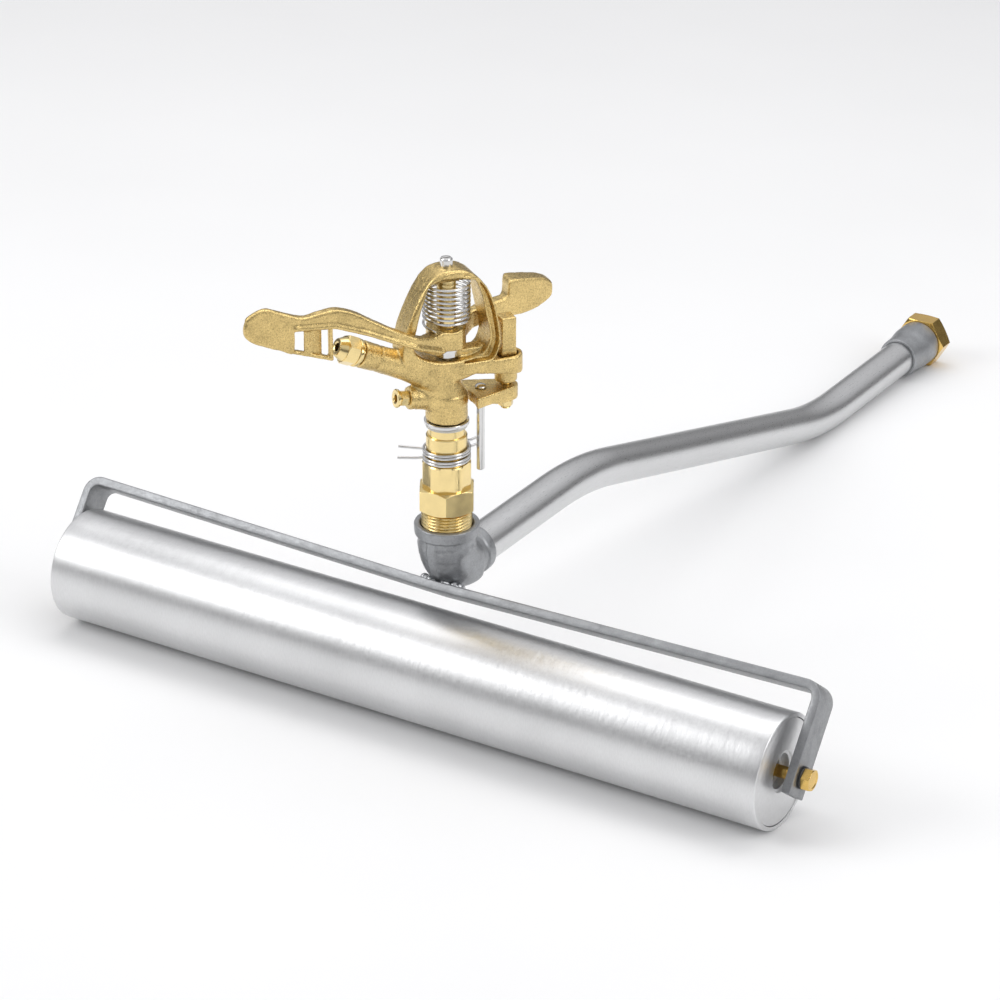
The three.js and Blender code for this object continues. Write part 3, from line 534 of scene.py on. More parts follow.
MATERIAL = {
    "roller_steel": brushed("roller_steel", grey(0.76, 0.01), 0.36, 30, (6, 1.6, 1.6), 0.3, 0.0006),
    "yoke_grey": cast_metal("yoke_grey", grey(0.34, 0.05), 0.42, 0.2, 0.9),
    "cast_fitting": cast_metal("cast_fitting", grey(0.4, 0.06), 0.4, 0.35, 0.75),
    "weld_metal": cast_metal("weld_metal", grey(0.62, 0.04), 0.2, 0.5, 1.0),
    "pipe_zinc": brushed("pipe_zinc", grey(0.7, 0.01), 0.3, 60, (6, 0.4, 6), 0.25, 0.0001),
    "brass_cast": cast_metal("brass_cast", (0.86, 0.64, 0.27), 0.3, 0.62),
    "brass_bright": machined("brass_bright", (0.95, 0.75, 0.36), 0.2),
    "brass_bolt": machined("brass_bolt", (0.84, 0.56, 0.17), 0.18),
    "stainless": machined("stainless", grey(0.76, -0.02), 0.16),
    "dark_steel": machined("dark_steel", grey(0.1, 0.0), 0.45),
    "rubber": plain("rubber", grey(0.015), 0.7),
    "polymer": plain("polymer", (0.66, 0.64, 0.58), 0.5),
}
for entry in frame["record"]["subparts"]:
    node = frame["nodes"][entry["node"]]
    node.data.materials.clear()
    node.data.materials.append(MATERIAL[entry["material_slot"]])


# ---------------------------------------------------------------- roller
def roller():
    half = ROLLER_LENGTH / 2
    inner = ROLLER_R - ROLLER_WALL
    ease = 1.2
    rows = [(-half, inner), *arc_rows(-half + ease, ROLLER_R - ease, ease, -90, 0)]
    rows += [(z, ROLLER_R) for z in np.linspace(-half + 12, half - 12, 24)]
    rows += [*arc_rows(half - ease, ROLLER_R - ease, ease, 0, 90), (half, inner)]
    verts, faces = turned(rows, 256, ring=True)
    add("roller_tube", verts, faces, ROLLER @ ALONG_X, "roller", "roller_steel", ["roller_shell"], 50)
    face = half - DISC_RECESS
    bore, rim = 13, inner - 0.3
    rows = [
        (face - 26, HUB_BORE_R), (face - 26, bore + 4), (face - 6, bore + 4), (face - 6, rim),
        *arc_rows(face - 0.5, rim - 0.5, 0.5, 0, 90, 3), (face, bore + 1.1),
        *arc_rows(face - 1.1, bore + 1.1, 1.1, 90, 180, 4), (face - 2, bore - 1.4),
        (face - 7, bore - 1.6), (face - 7, HUB_BORE_R),
    ]
    verts, faces = turned(rows, 128, ring=True)
    for side, way in (("right", ALONG_X), ("left", ALONG_MINUS_X)):
        add(f"end_disc_{side}", verts, faces, ROLLER @ way, "roller", "roller_steel",
            [f"roller_end_disc_{side}"], 40)


# ---------------------------------------------------------------- yoke and axle bolts
def yoke_outline():
    """The bar seen along the pipe: two legs, bent corners, and a crown that dips in the middle."""
    corner_x, corner_z = YOKE_HALF - YOKE_BEND_R, YOKE_REACH - YOKE_BEND_R
    inner_r = YOKE_BEND_R - YOKE_THICK

    def corner(radius, start, end):
        steps = [math.radians(start + (end - start) * i / 14) for i in range(15)]
        return [(corner_x + radius * math.cos(a), corner_z + radius * math.sin(a)) for a in steps]

    outer = [(YOKE_HALF - YOKE_THICK, -YOKE_TAIL), (YOKE_HALF, -YOKE_TAIL), *corner(YOKE_BEND_R, 0, 90)]
    inner = corner(inner_r, 90, 0)
    crown = YOKE_REACH - YOKE_DIP
    points = outer + [(0, crown)] + [(-x, z) for x, z in reversed(outer)]
    return points + [(-x, z) for x, z in reversed(inner)] + [(0, crown - YOKE_THICK)] + inner


def apply_modifiers(obj):
    bpy.context.view_layer.update()
    graph = bpy.context.evaluated_depsgraph_get()
    mesh = bpy.data.meshes.new_from_object(obj.evaluated_get(graph))
    obj.modifiers.clear()
    obj.data = mesh


def yoke():
    points = yoke_outline()
    count = len(points)
    verts = [(x, side * YOKE_WIDTH / 2, z) for side in (-1, 1) for x, z in points]
    faces = [tuple(range(count)), tuple(reversed(range(count, 2 * count)))]
    faces += [(i, i + count, (i + 1) % count + count, (i + 1) % count) for i in range(count)]
    bar = add("yoke_bar", verts, faces, YOKE, "frame", "yoke_grey", ["yoke"])
    end = 2 * YOKE_HALF
    hole_verts, hole_faces = turned([(-end, 0), (-end, AXLE_HOLE_R), (end, AXLE_HOLE_R), (end, 0)], 48)
    hole = add("axle_hole_cutter", hole_verts, hole_faces, YOKE @ ALONG_X, "frame", "yoke_grey")
    drill = bar.modifiers.new("drill", "BOOLEAN")
    drill.object = hole
    drill.operation = "DIFFERENCE"
    drill.solver = "EXACT"
    ease = bar.modifiers.new("ease", "BEVEL")
    ease.width = 0.8 * MM
    ease.segments = 3
    ease.limit_method = "ANGLE"
    ease.angle_limit = math.radians(50)
    apply_modifiers(bar)
    bpy.data.objects.remove(hole)
    bar.data.polygons.foreach_set("use_smooth", [True] * len(bar.data.polygons))
    bar.data.set_sharp_from_angle(angle=math.radians(30))


def axle_bolts():
    seat = YOKE_HALF + 0.3
    head = seat + 1.8
    across, height = 13, 5.4
    tip = ROLLER_LENGTH / 2 - 24.9
    rows = [(tip, 0), (tip, 3.6), (tip + 0.6, 4), (head, 4)]
    rows += hex_rows(across, head, head + height, 0.2, lower=False)
    rows += [(head + height, 5.6), (head + height - 0.35, 4.9), (head + height - 0.35, 0)]
    verts, faces = turned(rows, 72, 0.2)
    washer = [(seat, AXLE_HOLE_R), *arc_rows(seat + 0.3, 6.9, 0.3, -90, 0, 3),
              *arc_rows(seat + 1.2, 6.9, 0.3, 0, 90, 3), (seat + 1.5, AXLE_HOLE_R)]
    ring_verts, ring_faces = turned(washer, 72, ring=True)
    for side, way in (("right", ALONG_X), ("left", ALONG_MINUS_X)):
        add(f"axle_screw_{side}", verts, faces, YOKE @ way, "frame", "brass_bolt",
            [f"axle_bolt_{side}"], 25)
        add(f"axle_ring_{side}", ring_verts, ring_faces, YOKE @ way, "frame", "dark_steel",
            [f"axle_washer_{side}"])


# ---------------------------------------------------------------- elbow, weld, pipe and socket
def elbow_field(x, y, z):
    ring = np.hypot(y - BEND_R, z - BEND_R) - BEND_R
    past_bend = np.maximum(y - BEND_R, z - BEND_R)
    bend = smax(np.hypot(ring, x) - ELBOW_R, past_bend, 1.5)
    rho, across = np.hypot(x, y), np.hypot(x, z)
    neck = spun(rho, z, [(BEND_R - 6, ELBOW_R - 1.4), (BEND_R, ELBOW_R),
                         (ELBOW_TOP - 8.6, ELBOW_R + 0.2)])
    arm = spun(across, y, [(BEND_R - 6, ELBOW_R - 2.6), (BEND_R, ELBOW_R - 1.8),
                           (ELBOW_SIDE - 8, ELBOW_R - 3.0)])
    body = smin(smin(bend, neck, 3), arm, 3)
    cheek = np.abs(x) - (ELBOW_R - 1.6)
    body = smax(body, np.where(cheek > z - 14, cheek, -1), 1.5)
    rib = smax(ring - ELBOW_R - 1.0, np.abs(x) - 3.2, 0.8)
    rib = smax(rib, np.maximum(y - 2, z - ELBOW_TOP + 8.5), 1.0)
    body = smin(body, rib, 1.0)
    seam = smax(np.abs(x) - 0.5, ring - ELBOW_R - 0.5, 0.3)
    body = smin(body, smax(seam, past_bend, 0.5), 0.5)
    collar = spun(rho, z, [(ELBOW_TOP - 8.4, ELBOW_R + 1.4), (ELBOW_TOP - 7.6, ELBOW_R + 2.4),
                           (ELBOW_TOP - 1, ELBOW_R + 2.8), (ELBOW_TOP, ELBOW_R + 2.5)], 0.5)
    rim = spun(across, y, [(ELBOW_SIDE - 8.2, ELBOW_R - 2.9), (ELBOW_SIDE - 7.4, ELBOW_R - 2.0),
                           (ELBOW_SIDE, ELBOW_R - 2.1)], 0.5)
    body = smin(smin(body, collar, 0.8), rim, 0.8)
    body = body + 0.12 * lumps(x, y, z, 4.0)
    socket = spun(rho, z, [(ELBOW_TOP - 22, 14.2), (ELBOW_TOP - 9.2, 14.2),
                           (ELBOW_TOP - 9, THREAD_R + 0.6), (ELBOW_TOP - 1, THREAD_R + 0.6),
                           (ELBOW_TOP + 3, THREAD_R + 2.8)], 0.2)
    pipe_seat = spun(across, y, [(ELBOW_SIDE - 7, PIPE_R + 0.4), (ELBOW_SIDE + 3, PIPE_R + 0.4)], 0.2)
    passage = smax(np.hypot(ring, x) - WATERWAY_R, past_bend, 0.5)
    bore = np.minimum(np.minimum(socket, pipe_seat), passage)
    bore = np.minimum(bore, spun(rho, z, [(BEND_R - 1, WATERWAY_R), (ELBOW_TOP, WATERWAY_R)], 0.2))
    bore = np.minimum(bore, spun(across, y, [(BEND_R - 1, WATERWAY_R), (ELBOW_SIDE, WATERWAY_R)], 0.2))
    return np.maximum(body, -bore)


def elbow():
    reach = ELBOW_R + 3.2
    low = (-reach, -reach, -reach)
    high = (reach, ELBOW_SIDE + 0.5, ELBOW_TOP + 0.5)
    verts, faces = cast(elbow_field, low, high, 0.5)
    add("elbow_casting", verts, faces, ELBOW, "frame", "cast_fitting", ["elbow"], 60)


def weld():
    """Ripples of a hand-laid fillet between the bar's middle and the elbow's heel."""
    crown = YOKE_REACH - YOKE_DIP

    def field(x, y, z):
        total = None
        for i in range(9):
            at = -13.6 + i * 3.4
            size = 4.6 - 0.09 * (i - 4) ** 2
            ball = np.sqrt((x - at) ** 2 + (y - 1.6 * math.sin(i * 2.3)) ** 2 * 0.4
                           + (z - crown - 0.6 - 0.7 * math.cos(i * 1.7)) ** 2) - size
            total = ball if total is None else smin(total, ball, 0.9)
        for at, off, size in ((9.5, 5.5, 1.5), (13.2, -4.6, 1.2), (-11.5, 5.2, 1.3), (4.5, 6.6, 1.1)):
            spatter = np.sqrt((x - at) ** 2 + (y - off) ** 2 + (z - crown) ** 2) - size
            total = np.minimum(total, spatter)
        return np.maximum(total + 0.12 * lumps(x, y, z, 1.6), crown + 0.05 - z)

    verts, faces = cast(field, (-21, -9, crown - 3), (21, 9, crown + 7), 0.4)
    add("weld_ripples", verts, faces, YOKE, "frame", "weld_metal", ["weld_bead"], 60)


def pipe_line(start, end):
    """The pipe's middle line: level, down between two knees, and level again."""
    fall = math.atan2(PIPE_Z - PIPE_END_Z, PIPE_KNEES[1] - PIPE_KNEES[0])
    tangent = PIPE_BEND_R * math.tan(fall / 2)
    slope = (PIPE_KNEES[1] - PIPE_KNEES[0]) / math.cos(fall) - 2 * tangent
    runs = [(PIPE_KNEES[0] - tangent - start, 0), (PIPE_BEND_R * fall, -fall), (slope, 0),
            (PIPE_BEND_R * fall, fall), (end - PIPE_KNEES[1] - tangent, 0)]
    y, z, heading = start, PIPE_Z, 0.0
    points = [(0, y, z)]
    for length, turn in runs:
        steps = 28 if turn else 6
        for _ in range(steps):
            heading += turn / steps / 2
            y += length / steps * math.cos(heading)
            z += length / steps * math.sin(heading)
            heading += turn / steps / 2
            points.append((0, y, z))
    return points


def pipe():
    verts, faces = tube(pipe_line(HEAD_Y + ELBOW_SIDE - 12.5, SOCKET_Y[1] - 20), PIPE_R, 72, PIPE_BORE_R)
    add("pipe_run", verts, faces, CHASSIS, "frame", "pipe_zinc", ["drag_pipe"], 50)
    end = CHASSIS @ shift(0, SOCKET_Y[0], PIPE_END_Z) @ ALONG_Y
    length = SOCKET_Y[1] - SOCKET_Y[0]
    rows = [(0, PIPE_R + 0.3), *arc_rows(0.6, 15.1, 0.6, -90, 0, 3), (2, 15.8), (6, 15.9), (12, 16.1)]
    rows += [(12 + 13.5 * t, 16.1 + 1.6 * t * t * (3 - 2 * t)) for t in np.linspace(0.1, 1, 10)]
    rows += [*arc_rows(length - 1, 16.7, 1.0, 0, 90, 4), (length, 15.6), (length - 16, 15.6),
             (length - 16.6, PIPE_R + 0.3)]
    verts, faces = turned(rows, 96, ring=True)
    add("socket_casting", verts, faces, end, "frame", "cast_fitting", ["end_socket"], 40)


def hose_bush():
    base = CHASSIS @ shift(0, SOCKET_Y[1] + 0.3, PIPE_END_Z) @ ALONG_Y
    across, length, turn = 37, 14.5, math.pi / 6
    rows = [(-14.5, 9.5), (-14.5, 14.4), (-13.9, 15.2), (0, 15.2), (0, 17.6)]
    rows += hex_rows(across, 0, length, turn, slope=0.42)
    rows += [(length, 13.9), (length - 1.4, 13.0)]
    rows += reversed(thread_rows(13.2, 1.15, -3.9, length - 1.5))
    rows += [(-4, 12.05), (-4, 9.5)]
    verts, faces = turned(rows, 96, turn, ring=True)
    add("hose_union", verts, faces, base, "frame", "brass_bolt", ["hose_inlet_bush"], 28)


# ---------------------------------------------------------------- bearing and stop rings
def nipple():
    z0 = Z_THREAD - 14.5
    rows = [(z0, BEARING_BORE_R), (z0, THREAD_R - 1)]
    rows += thread_rows(THREAD_R, 1.15, z0 + 1.2, Z_THREAD + 9.4)
    rows += [(Z_THREAD + 9.8, THREAD_R - 1.3), (Z_HEX[0] - 0.05, THREAD_R - 1.2)]
    rows += hex_rows(HEX_ACROSS, Z_HEX[0], Z_HEX[1], HEX_TURN)
    sleeve = hexagon(SLEEVE_ACROSS, SLEEVE_TURN, 15.7)
    sleeve_end = hexagon(SLEEVE_ACROSS, SLEEVE_TURN, 14.9)
    rows += [(Z_HEX[1], sleeve), (Z_FLATS - 0.9, sleeve), (Z_FLATS, sleeve_end), (Z_FLATS, 13.3),
             (Z_SEAT - 0.6, 13.3), (Z_SEAT, 12.7), (Z_SEAT, 11.9), (Z_NIPPLE - 0.3, 11.9),
             (Z_NIPPLE, 11.6), (Z_NIPPLE, BEARING_BORE_R)]
    verts, faces = turned(rows, 144, HEX_TURN, ring=True)
    add("nipple_turning", verts, faces, HEAD, "frame", "brass_bright", ["bearing_nipple"], 25)
    washer = [(194.6, BEARING_BORE_R), *arc_rows(195.3, 14.0, 0.6, -90, 0, 3),
              *arc_rows(196.8, 14.0, 0.6, 0, 90, 3),
              (197.5, BEARING_BORE_R)]
    verts, faces = turned(washer, 96, ring=True)
    add("dust_ring", verts, faces, HEAD, "head", "stainless", ["dust_washer"])


def stop_ring(name, node, body, z, prong_z, start, end, coils=2):
    """Two coils of wire hugging the nipple, whose prongs ease to heights of their own."""
    wire, coil, pitch, reach, ease = 0.9, 14.7, 2, 34, 2.5
    a0, a1 = math.radians(start), math.radians(end)
    sweep = a1 - a0 + FULL * coils
    prong = reach - coil
    arc_length = abs(sweep) * coil
    s = np.linspace(0, arc_length + 2 * prong, 260)
    along = np.clip(s - prong, 0, arc_length) / arc_length
    polar = a0 + sweep * along
    out = np.maximum(np.maximum(prong - s, s - prong - arc_length), 0)
    r = coil + np.sqrt(out * out + ease * ease) - ease
    t = np.clip(out / 9, 0, 1)
    t = t * t * (3 - 2 * t)
    height = (z + pitch * sweep * along / FULL) * (1 - t) + np.where(along < 0.5, *prong_z) * t
    path = np.column_stack([r * np.cos(polar), r * np.sin(polar), height])
    verts, faces = tube(path, wire)
    add(name, verts, faces, HEAD, body, "stainless", [node], 40)


# ---------------------------------------------------------------- turning head
OUTER_RING = [(33, 246), (31.6, 262), (25.6, 278), (18.4, 291.5), (10, 300), (0, Z_BRIDGE), (-11, 300),
              (-21, 291.8), (-28, 279), (-32, 262), (-33, 248), (-28, 237), (-14, 229), (0, 226),
              (14, 229), (24, 236)]
INNER_RING = [(25.5, 254), (23.2, 268), (18.6, 284), (13.6, 294.4), (0, 296), (-14.6, 294.2), (-20, 284),
              (-23, 270), (-26, 254), (-21, 243.5), (-8, 240.6), (8, 241.6), (20, 246.5)]


def rear_lug(x, y, z):
    """The open loop behind the rear leg, with the trip pivot's boss under it, and its bores."""
    plan = np.hypot(x - np.clip(x, PIVOT_X, -3), y) - LUG_R
    under = 233 - (5 - x) * 0.169 - z
    from_pivot = np.hypot(x - PIVOT_X, y)
    loop = smax(plan, smax(z - LUG_TOP, under, 0.5), 1.6)
    boss = spun(from_pivot, z, [(BOSS_FOOT, 7.2), (226, 7.4)], 0.7)
    pocket = np.maximum(np.maximum(np.hypot(x - np.clip(x, PIVOT_X, -30), y) - POCKET_R, x - POCKET_FRONT),
                        POCKET_FLOOR - z)
    bore = spun(from_pivot, z, [(BOSS_FOOT - 3, PIVOT_BORE_R), (240, PIVOT_BORE_R)], 0.1)
    return smin(loop, boss, 0.8), np.minimum(pocket, bore)


def head_field(x, y, z):
    """Column, bent main barrel, spreader boss, bridge and rear lug, less their bores."""
    rho = np.hypot(x, y)
    column = spun(rho, z, [(Z_COLUMN, 13.3), (199.4, 13.6), (208.8, 13.45), (209.8, 13.75),
                           (210.8, 13.45), (216, 13.4)], 0.8)
    s = x * math.cos(JET_RISE) + (z - Z_BARREL) * math.sin(JET_RISE)
    w = (z - Z_BARREL) * math.cos(JET_RISE) - x * math.sin(JET_RISE)
    from_jet = np.hypot(w, y)
    bend_x, bend_z = 26, Z_BARREL - 16.7
    turned_by = np.degrees(np.arctan2(z - bend_z, bend_x - x))
    bend = np.hypot(np.hypot(x - bend_x, z - bend_z) - bend_x, y)
    bend = bend - np.interp(turned_by, [0, 65], [13.4, 10.6])
    bend = smax(bend, np.maximum(bend_z - z, s - 17), 0.8)
    barrel = spun(from_jet, s, [(12, 10.8), (18, 10.3), (34, 8.9), (52.4, 8.45)], 0.4)
    core = spun(from_jet, s, [(48, 7.9), (58, 7.9)], 0.2)
    collar = spun(from_jet, s, [(53.1, 8.6), (63.8, 8.95), (BARREL_END, 8.5)], 0.3)
    u = x * math.cos(SPREAD_RISE) + (z - SPREAD_Z) * math.sin(SPREAD_RISE)
    v = (z - SPREAD_Z) * math.cos(SPREAD_RISE) - x * math.sin(SPREAD_RISE)
    from_spread = np.hypot(v, y)
    boss = spun(from_spread, u, [(0, 8.8), (14, 8.0), (22, 7.7), (22.8, 7.2), (23.6, 7.5),
                                 (SPREAD_END, 7.3)], 0.5)
    outer = polygon(x, z, spline(OUTER_RING))
    inner = polygon(x, z, spline(INNER_RING))
    edge = np.interp(x, [-14, 6], [1.2, 2.6])
    bridge = slab(np.maximum(outer, -inner), y, 10.5, edge)
    groove = smax(np.maximum(1.3 + outer, 1.3 - inner), np.maximum(x + 8, 238 - z), 1.2)
    bridge = smax(bridge, -smax(groove, 4.6 - np.abs(y), 1.0), 0.5)
    cap = smax(outer, np.abs(y) - 9.3, 1.4)
    cap = smax(cap, 296.3 - z - 0.02 * y * y, 0.6)
    bridge = smin(bridge, cap, 0.8)
    crown = spun(rho, z, [(297.5, 7.4), (300.5, 6.9), (Z_BRIDGE + 0.1, 5.9)], 0.8)
    lug, lug_hollow = rear_lug(x, y, z)
    web = block(x, y, z, (-27, -5.0, 229), (-6, 5.0, 246), 1.4)
    body = smin(column, bend, 1.2)
    body = smin(body, barrel, 2.5)
    body = smin(body, core, 0.3)
    body = smin(body, boss, 4)
    body = smin(body, smin(bridge, web, 1.5), 1.6)
    body = smin(body, lug, 1.2)
    body = smin(body, crown, 1.6)
    body = smin(body, collar, 0.15)
    body = body + 0.13 * lumps(x, y, z, 3.4) + 0.07 * lumps(z, x, y, 1.3)
    bore = np.minimum(spun(rho, z, [(Z_COLUMN - 4, 11.9), (207.2, 11.9)], 0.1),
                      spun(rho, z, [(Z_COLUMN, BEARING_BORE_R), (212.2, BEARING_BORE_R)], 0.1))
    bore = np.minimum(bore, spun(rho, z, [(Z_COLUMN, 7.6), (222, 7.6)], 0.1))
    bore = np.minimum(bore, spun(from_jet, s, [(6, JET_BORE_R), (BARREL_END + 3, JET_BORE_R)], 0.1))
    spread_bore = spun(from_spread, u, [(2, SPREAD_BORE_R), (SPREAD_END + 3, SPREAD_BORE_R)], 0.1)
    bore = np.minimum(bore, spread_bore)
    bore = np.minimum(bore, spun(rho, z, [(234, PIN_BORE_R), (Z_PIN, PIN_BORE_R)], 0.1))
    return np.maximum(body, -np.minimum(bore, lug_hollow))


def head_casting():
    verts, faces = cast(head_field, (-52.5, -14.5, 197), (63, 14.5, 303), 0.55)
    add("head_casting", verts, faces, HEAD, "head", "brass_cast", ["head_body"], 60)


def nozzles():
    s, turn = BARREL_END + 0.3, 0.5
    hex_end, tip = s + 12, s + 17
    rows = [(s - 9, 4.8), (s - 9, 5.4), (s - 8.5, 6), (s, 6), (s, 7.6), (s + 0.9, 7.6), (s + 1.0, 8.9),
            *arc_rows(s + 1.6, 8.8, 0.4, -60, 0, 3), *arc_rows(s + 3.2, 8.8, 0.4, 0, 90, 4), (s + 3.6, 8.4)]
    rows += hex_rows(17, s + 3.6, hex_end, turn, slope=0.7)
    rows += [(hex_end, 7.9), (hex_end + 1.6, 7.3), (hex_end + 3.4, 6.4),
             *arc_rows(tip - 0.9, 5.1, 0.9, 10, 90, 4), (tip, 3.6), (tip - 0.5, 2.8), (tip - 4, 2.6),
             (s, 4.4)]
    verts, faces = turned(rows, 96, turn, ring=True)
    add("jet_nozzle", verts, faces, in_jet(JET_RISE, Z_BARREL), "head", "brass_bright",
        ["main_nozzle"], 25)
    s, turn = SPREAD_END + 0.3, 0.3
    tip = s + 8.2
    rows = [(s - 8, 2.4), (s - 8, 3), (s, 3), (s, 4.4)]
    rows += hex_rows(9.2, s, s + 5.2, turn, slope=0.6)
    rows += [(s + 5.2, 3.9), (s + 5.8, 3.9), (s + 6.2, 5.8), *arc_rows(tip - 0.8, 5.3, 0.8, 0, 90, 4),
             (tip, 3.6), (tip - 0.5, 2.6), (tip - 2, 2.4)]
    verts, faces = turned(rows, 72, turn, ring=True)
    add("spray_nozzle", verts, faces, in_jet(SPREAD_RISE, SPREAD_Z), "head", "brass_bright",
        ["spreader_nozzle"], 25)


def pin_field(x, y, z):
    rho = np.hypot(x, y)
    shoulder = Z_BRIDGE + 0.1
    shank = spun(rho, z, [(235, PIN_R), (shoulder - 0.3, PIN_R), (shoulder, 4.1), (Z_PIN - 1.1, 4.1),
                          (Z_PIN, 3.3)], 0.25)
    slot = block(x, y, z, (-7, -0.75, Z_PIN - 1.7), (7, 0.75, Z_PIN + 3), 0.1)
    return np.maximum(shank, -slot)


def pin_and_spring():
    verts, faces = cast(pin_field, (-4.4, -4.4, 234.6), (4.4, 4.4, Z_PIN + 0.6), 0.22)
    add("fulcrum_screw", verts, faces, HEAD, "head", "stainless", ["fulcrum_pin"], 35)
    top = Z_BRIDGE - 7
    rows = [(Z_HUB[1] + 0.3, 3.5), (Z_HUB[1] + 0.3, SLEEVE_R - 0.2), (Z_HUB[1] + 0.5, SLEEVE_R)]
    rows += [(z, SLEEVE_R - 0.15 * (i % 2)) for i, z in enumerate(np.linspace(266, top - 3, 22))]
    rows += [(top - 0.2, SLEEVE_R), (top, SLEEVE_R - 0.2), (top, 3.5)]
    verts, faces = turned(rows, 64, ring=True)
    add("spring_core", verts, faces, HEAD, "head", "brass_bright", ["pin_sleeve"], 40)
    # a closed coil, the open coils, and a last one that falls to hook into the arm's hub
    start = math.radians(150)
    turns = 8.2
    z_closed, z_open, z_last = Z_BRIDGE - 9.4, Z_BRIDGE - 11.2, Z_HUB[1] + 5.2
    closed = helix(SPRING_R, z_closed, z_open, 1, start)
    coils = helix(SPRING_R, z_open, z_last, turns, start)
    last = start + FULL * turns
    fall = np.linspace(0.02, 1, 26)
    angle = last + fall * math.radians(400 - math.degrees(last) % 360)
    tail = np.column_stack([SPRING_R * np.cos(angle), SPRING_R * np.sin(angle), z_last - 4.4 * fall])
    x, y, z = tail[-1]
    hook = [(x * 0.985, y * 0.985, z - 1.0), (x * 0.97, y * 0.97, z - 2.4)]
    verts, faces = tube(np.vstack([closed[:-1], coils, tail, hook]), SPRING_WIRE_R)
    add("hammer_coil", verts, faces, HEAD, "head", "stainless", ["hammer_spring"], 40)


# ---------------------------------------------------------------- hammer arm
ARM_PLAN = [(-6, 11), (8, 12.4), (28, 20.4), (44, 20.6), (62, 15.4), (80, 9), (100, 5.4), (126, 3.6),
            (136, 3), (136, -1), (126, -0.8), (100, -1.4), (80, 1), (60, 7), (44, 12.6), (29, 13),
            (23, 11.8), (12, 1), (10, -10), (-8, -12.4), (-28, -22.4), (-48, -27), (-53.5, -33.5),
            (-70, -36.5), (-83, -37.5), (-87.5, -34), (-86, -28.6), (-74, -24.4), (-52, -18.6),
            (-30, -13.6), (-23.5, -11.8), (-12, -1)]
ARM_FRONT = [(8, 247), (24, 254.6), (40, 263), (60, 271), (78, 276.2), (92, 275.6), (104, 277),
             (113, 279.2), (122.5, 279.6), (131, 283), (134.5, 287), (131, 290.6), (122, 293.6),
             (112, 290), (98, 284.8), (88, 286.4), (77, 288.2), (66, 285.6), (54, 279), (40, 271.6),
             (28, 265.6), (14, 261.6), (4, 261.6)]
ARM_PADDLE = [(104, 262), (113, 264.6), (122, 268), (131, 272.4), (135.4, 277), (136.2, 282),
              (133.6, 287.4), (128, 291), (118, 290), (110, 284), (104, 280)]
ARM_REAR = [(-4, 261.6), (-20, 262.6), (-36, 264.4), (-48.4, 265.4), (-50.6, 268.6), (-51, 274.2),
            (-53.4, 276.6), (-66, 274.4), (-79, 271.2), (-85, 267.4), (-87.4, 261.4), (-84.6, 256.2),
            (-76, 252.8), (-65, 251), (-52, 251.6), (-36, 252.4), (-20, 250.4), (-4, 248.6)]


def arm_field(x, y, z):
    """Hub, spoon and counterweight: a plan outline met with side outlines, plus the window and vane."""
    rho = np.hypot(x, y)
    hub = spun(rho, z, [(Z_HUB[0], 12.3), (Z_HUB[1], 12.5)], 1.2)
    plan = polygon(x, y, ARM_PLAN)
    front = polygon(x, z, spline(ARM_FRONT, 4))
    paddle = polygon(x, z, spline(ARM_PADDLE, 4))
    side = smin(smin(front, paddle, 1.2), polygon(x, z, spline(ARM_REAR, 4)), 0.5)
    reach = smax(plan, side, 1.6)
    floor = np.interp(x, [8, 24, 40, 60, 78, 104], [249, 256, 263.6, 271.6, 276.6, 277])
    bead = np.hypot(z - floor - 1.2, plan + 0.4) - 1.9
    reach = smin(reach, smax(bead, np.maximum(6 - x, x - 104), 1), 0.8)
    rail = np.maximum(polygon(x, y, [(78.6, 6.6), (106, 3.6), (106, -0.6), (78.6, 2)]),
                      polygon(x, z, [(77, 252.4), (106, 261.4), (106, 264), (77, 255)]))
    post = block(x, y, z, (78.6, 1.8, 253.6), (81, 6.4, 279), 0.5)
    turn = math.radians(16)
    px, py, pz = x - 91, y - 2.6, z - 257.5
    u, v = px * math.cos(turn) + py * math.sin(turn), py * math.cos(turn) - px * math.sin(turn)
    vane = slab(polygon(u, pz, [(-6.6, 0), (6.6, 4), (6.6, 20.4), (-6.6, 19.4)]), v, 1.1, 0.4)
    body = smin(hub, reach, 2.5)
    body = smin(body, smin(smin(rail, post, 0.8), vane, 0.8), 0.9)
    body = body + 0.12 * lumps(x, y, z, 3.4) + 0.06 * lumps(z, x, y, 1.3)
    return np.maximum(body, -spun(rho, z, [(240, 5.7), (270, 5.7)], 0.1))


def hammer():
    verts, faces = cast(arm_field, (-89, -39, 247), (137.5, 22, 294.5), 0.6)
    add("hammer_casting", verts, faces, HEAD, "arm", "brass_cast", ["hammer_arm"], 60)


# ---------------------------------------------------------------- trip gear
def lever_field(x, y, z):
    """A wedge hollowed where the column passes it over the whole of its swing."""
    end = [(PIVOT_X + 7.8 * math.cos(a), 7.8 * math.sin(a))
           for a in np.linspace(math.radians(110), math.radians(250), 14)]
    plan = polygon(x, y, end + [(-14.6, -17), (-14.6, 17)])
    for way in (-1, -0.5, 0, 0.5, 1):
        a = TRIP_SWING * way
        past_column = 14.5 - np.hypot(x - PIVOT_X + PIVOT_X * math.cos(a), y + PIVOT_X * math.sin(a))
        plan = smax(plan, past_column, 0.6)
    floor = np.interp(x, [-34, -26], [LEVER_Z[0], LEVER_Z[0] + 2.4])
    body = smax(plan, np.maximum(floor - z, z - LEVER_Z[1]), 0.9) + 0.1 * lumps(x, y, z, 2.6)
    pivot = np.hypot(x - PIVOT_X, y) - 3.5
    pin = np.hypot(x - TRIP_PIN_X, y) - 3.1
    return np.maximum(body, -np.minimum(pivot, pin))


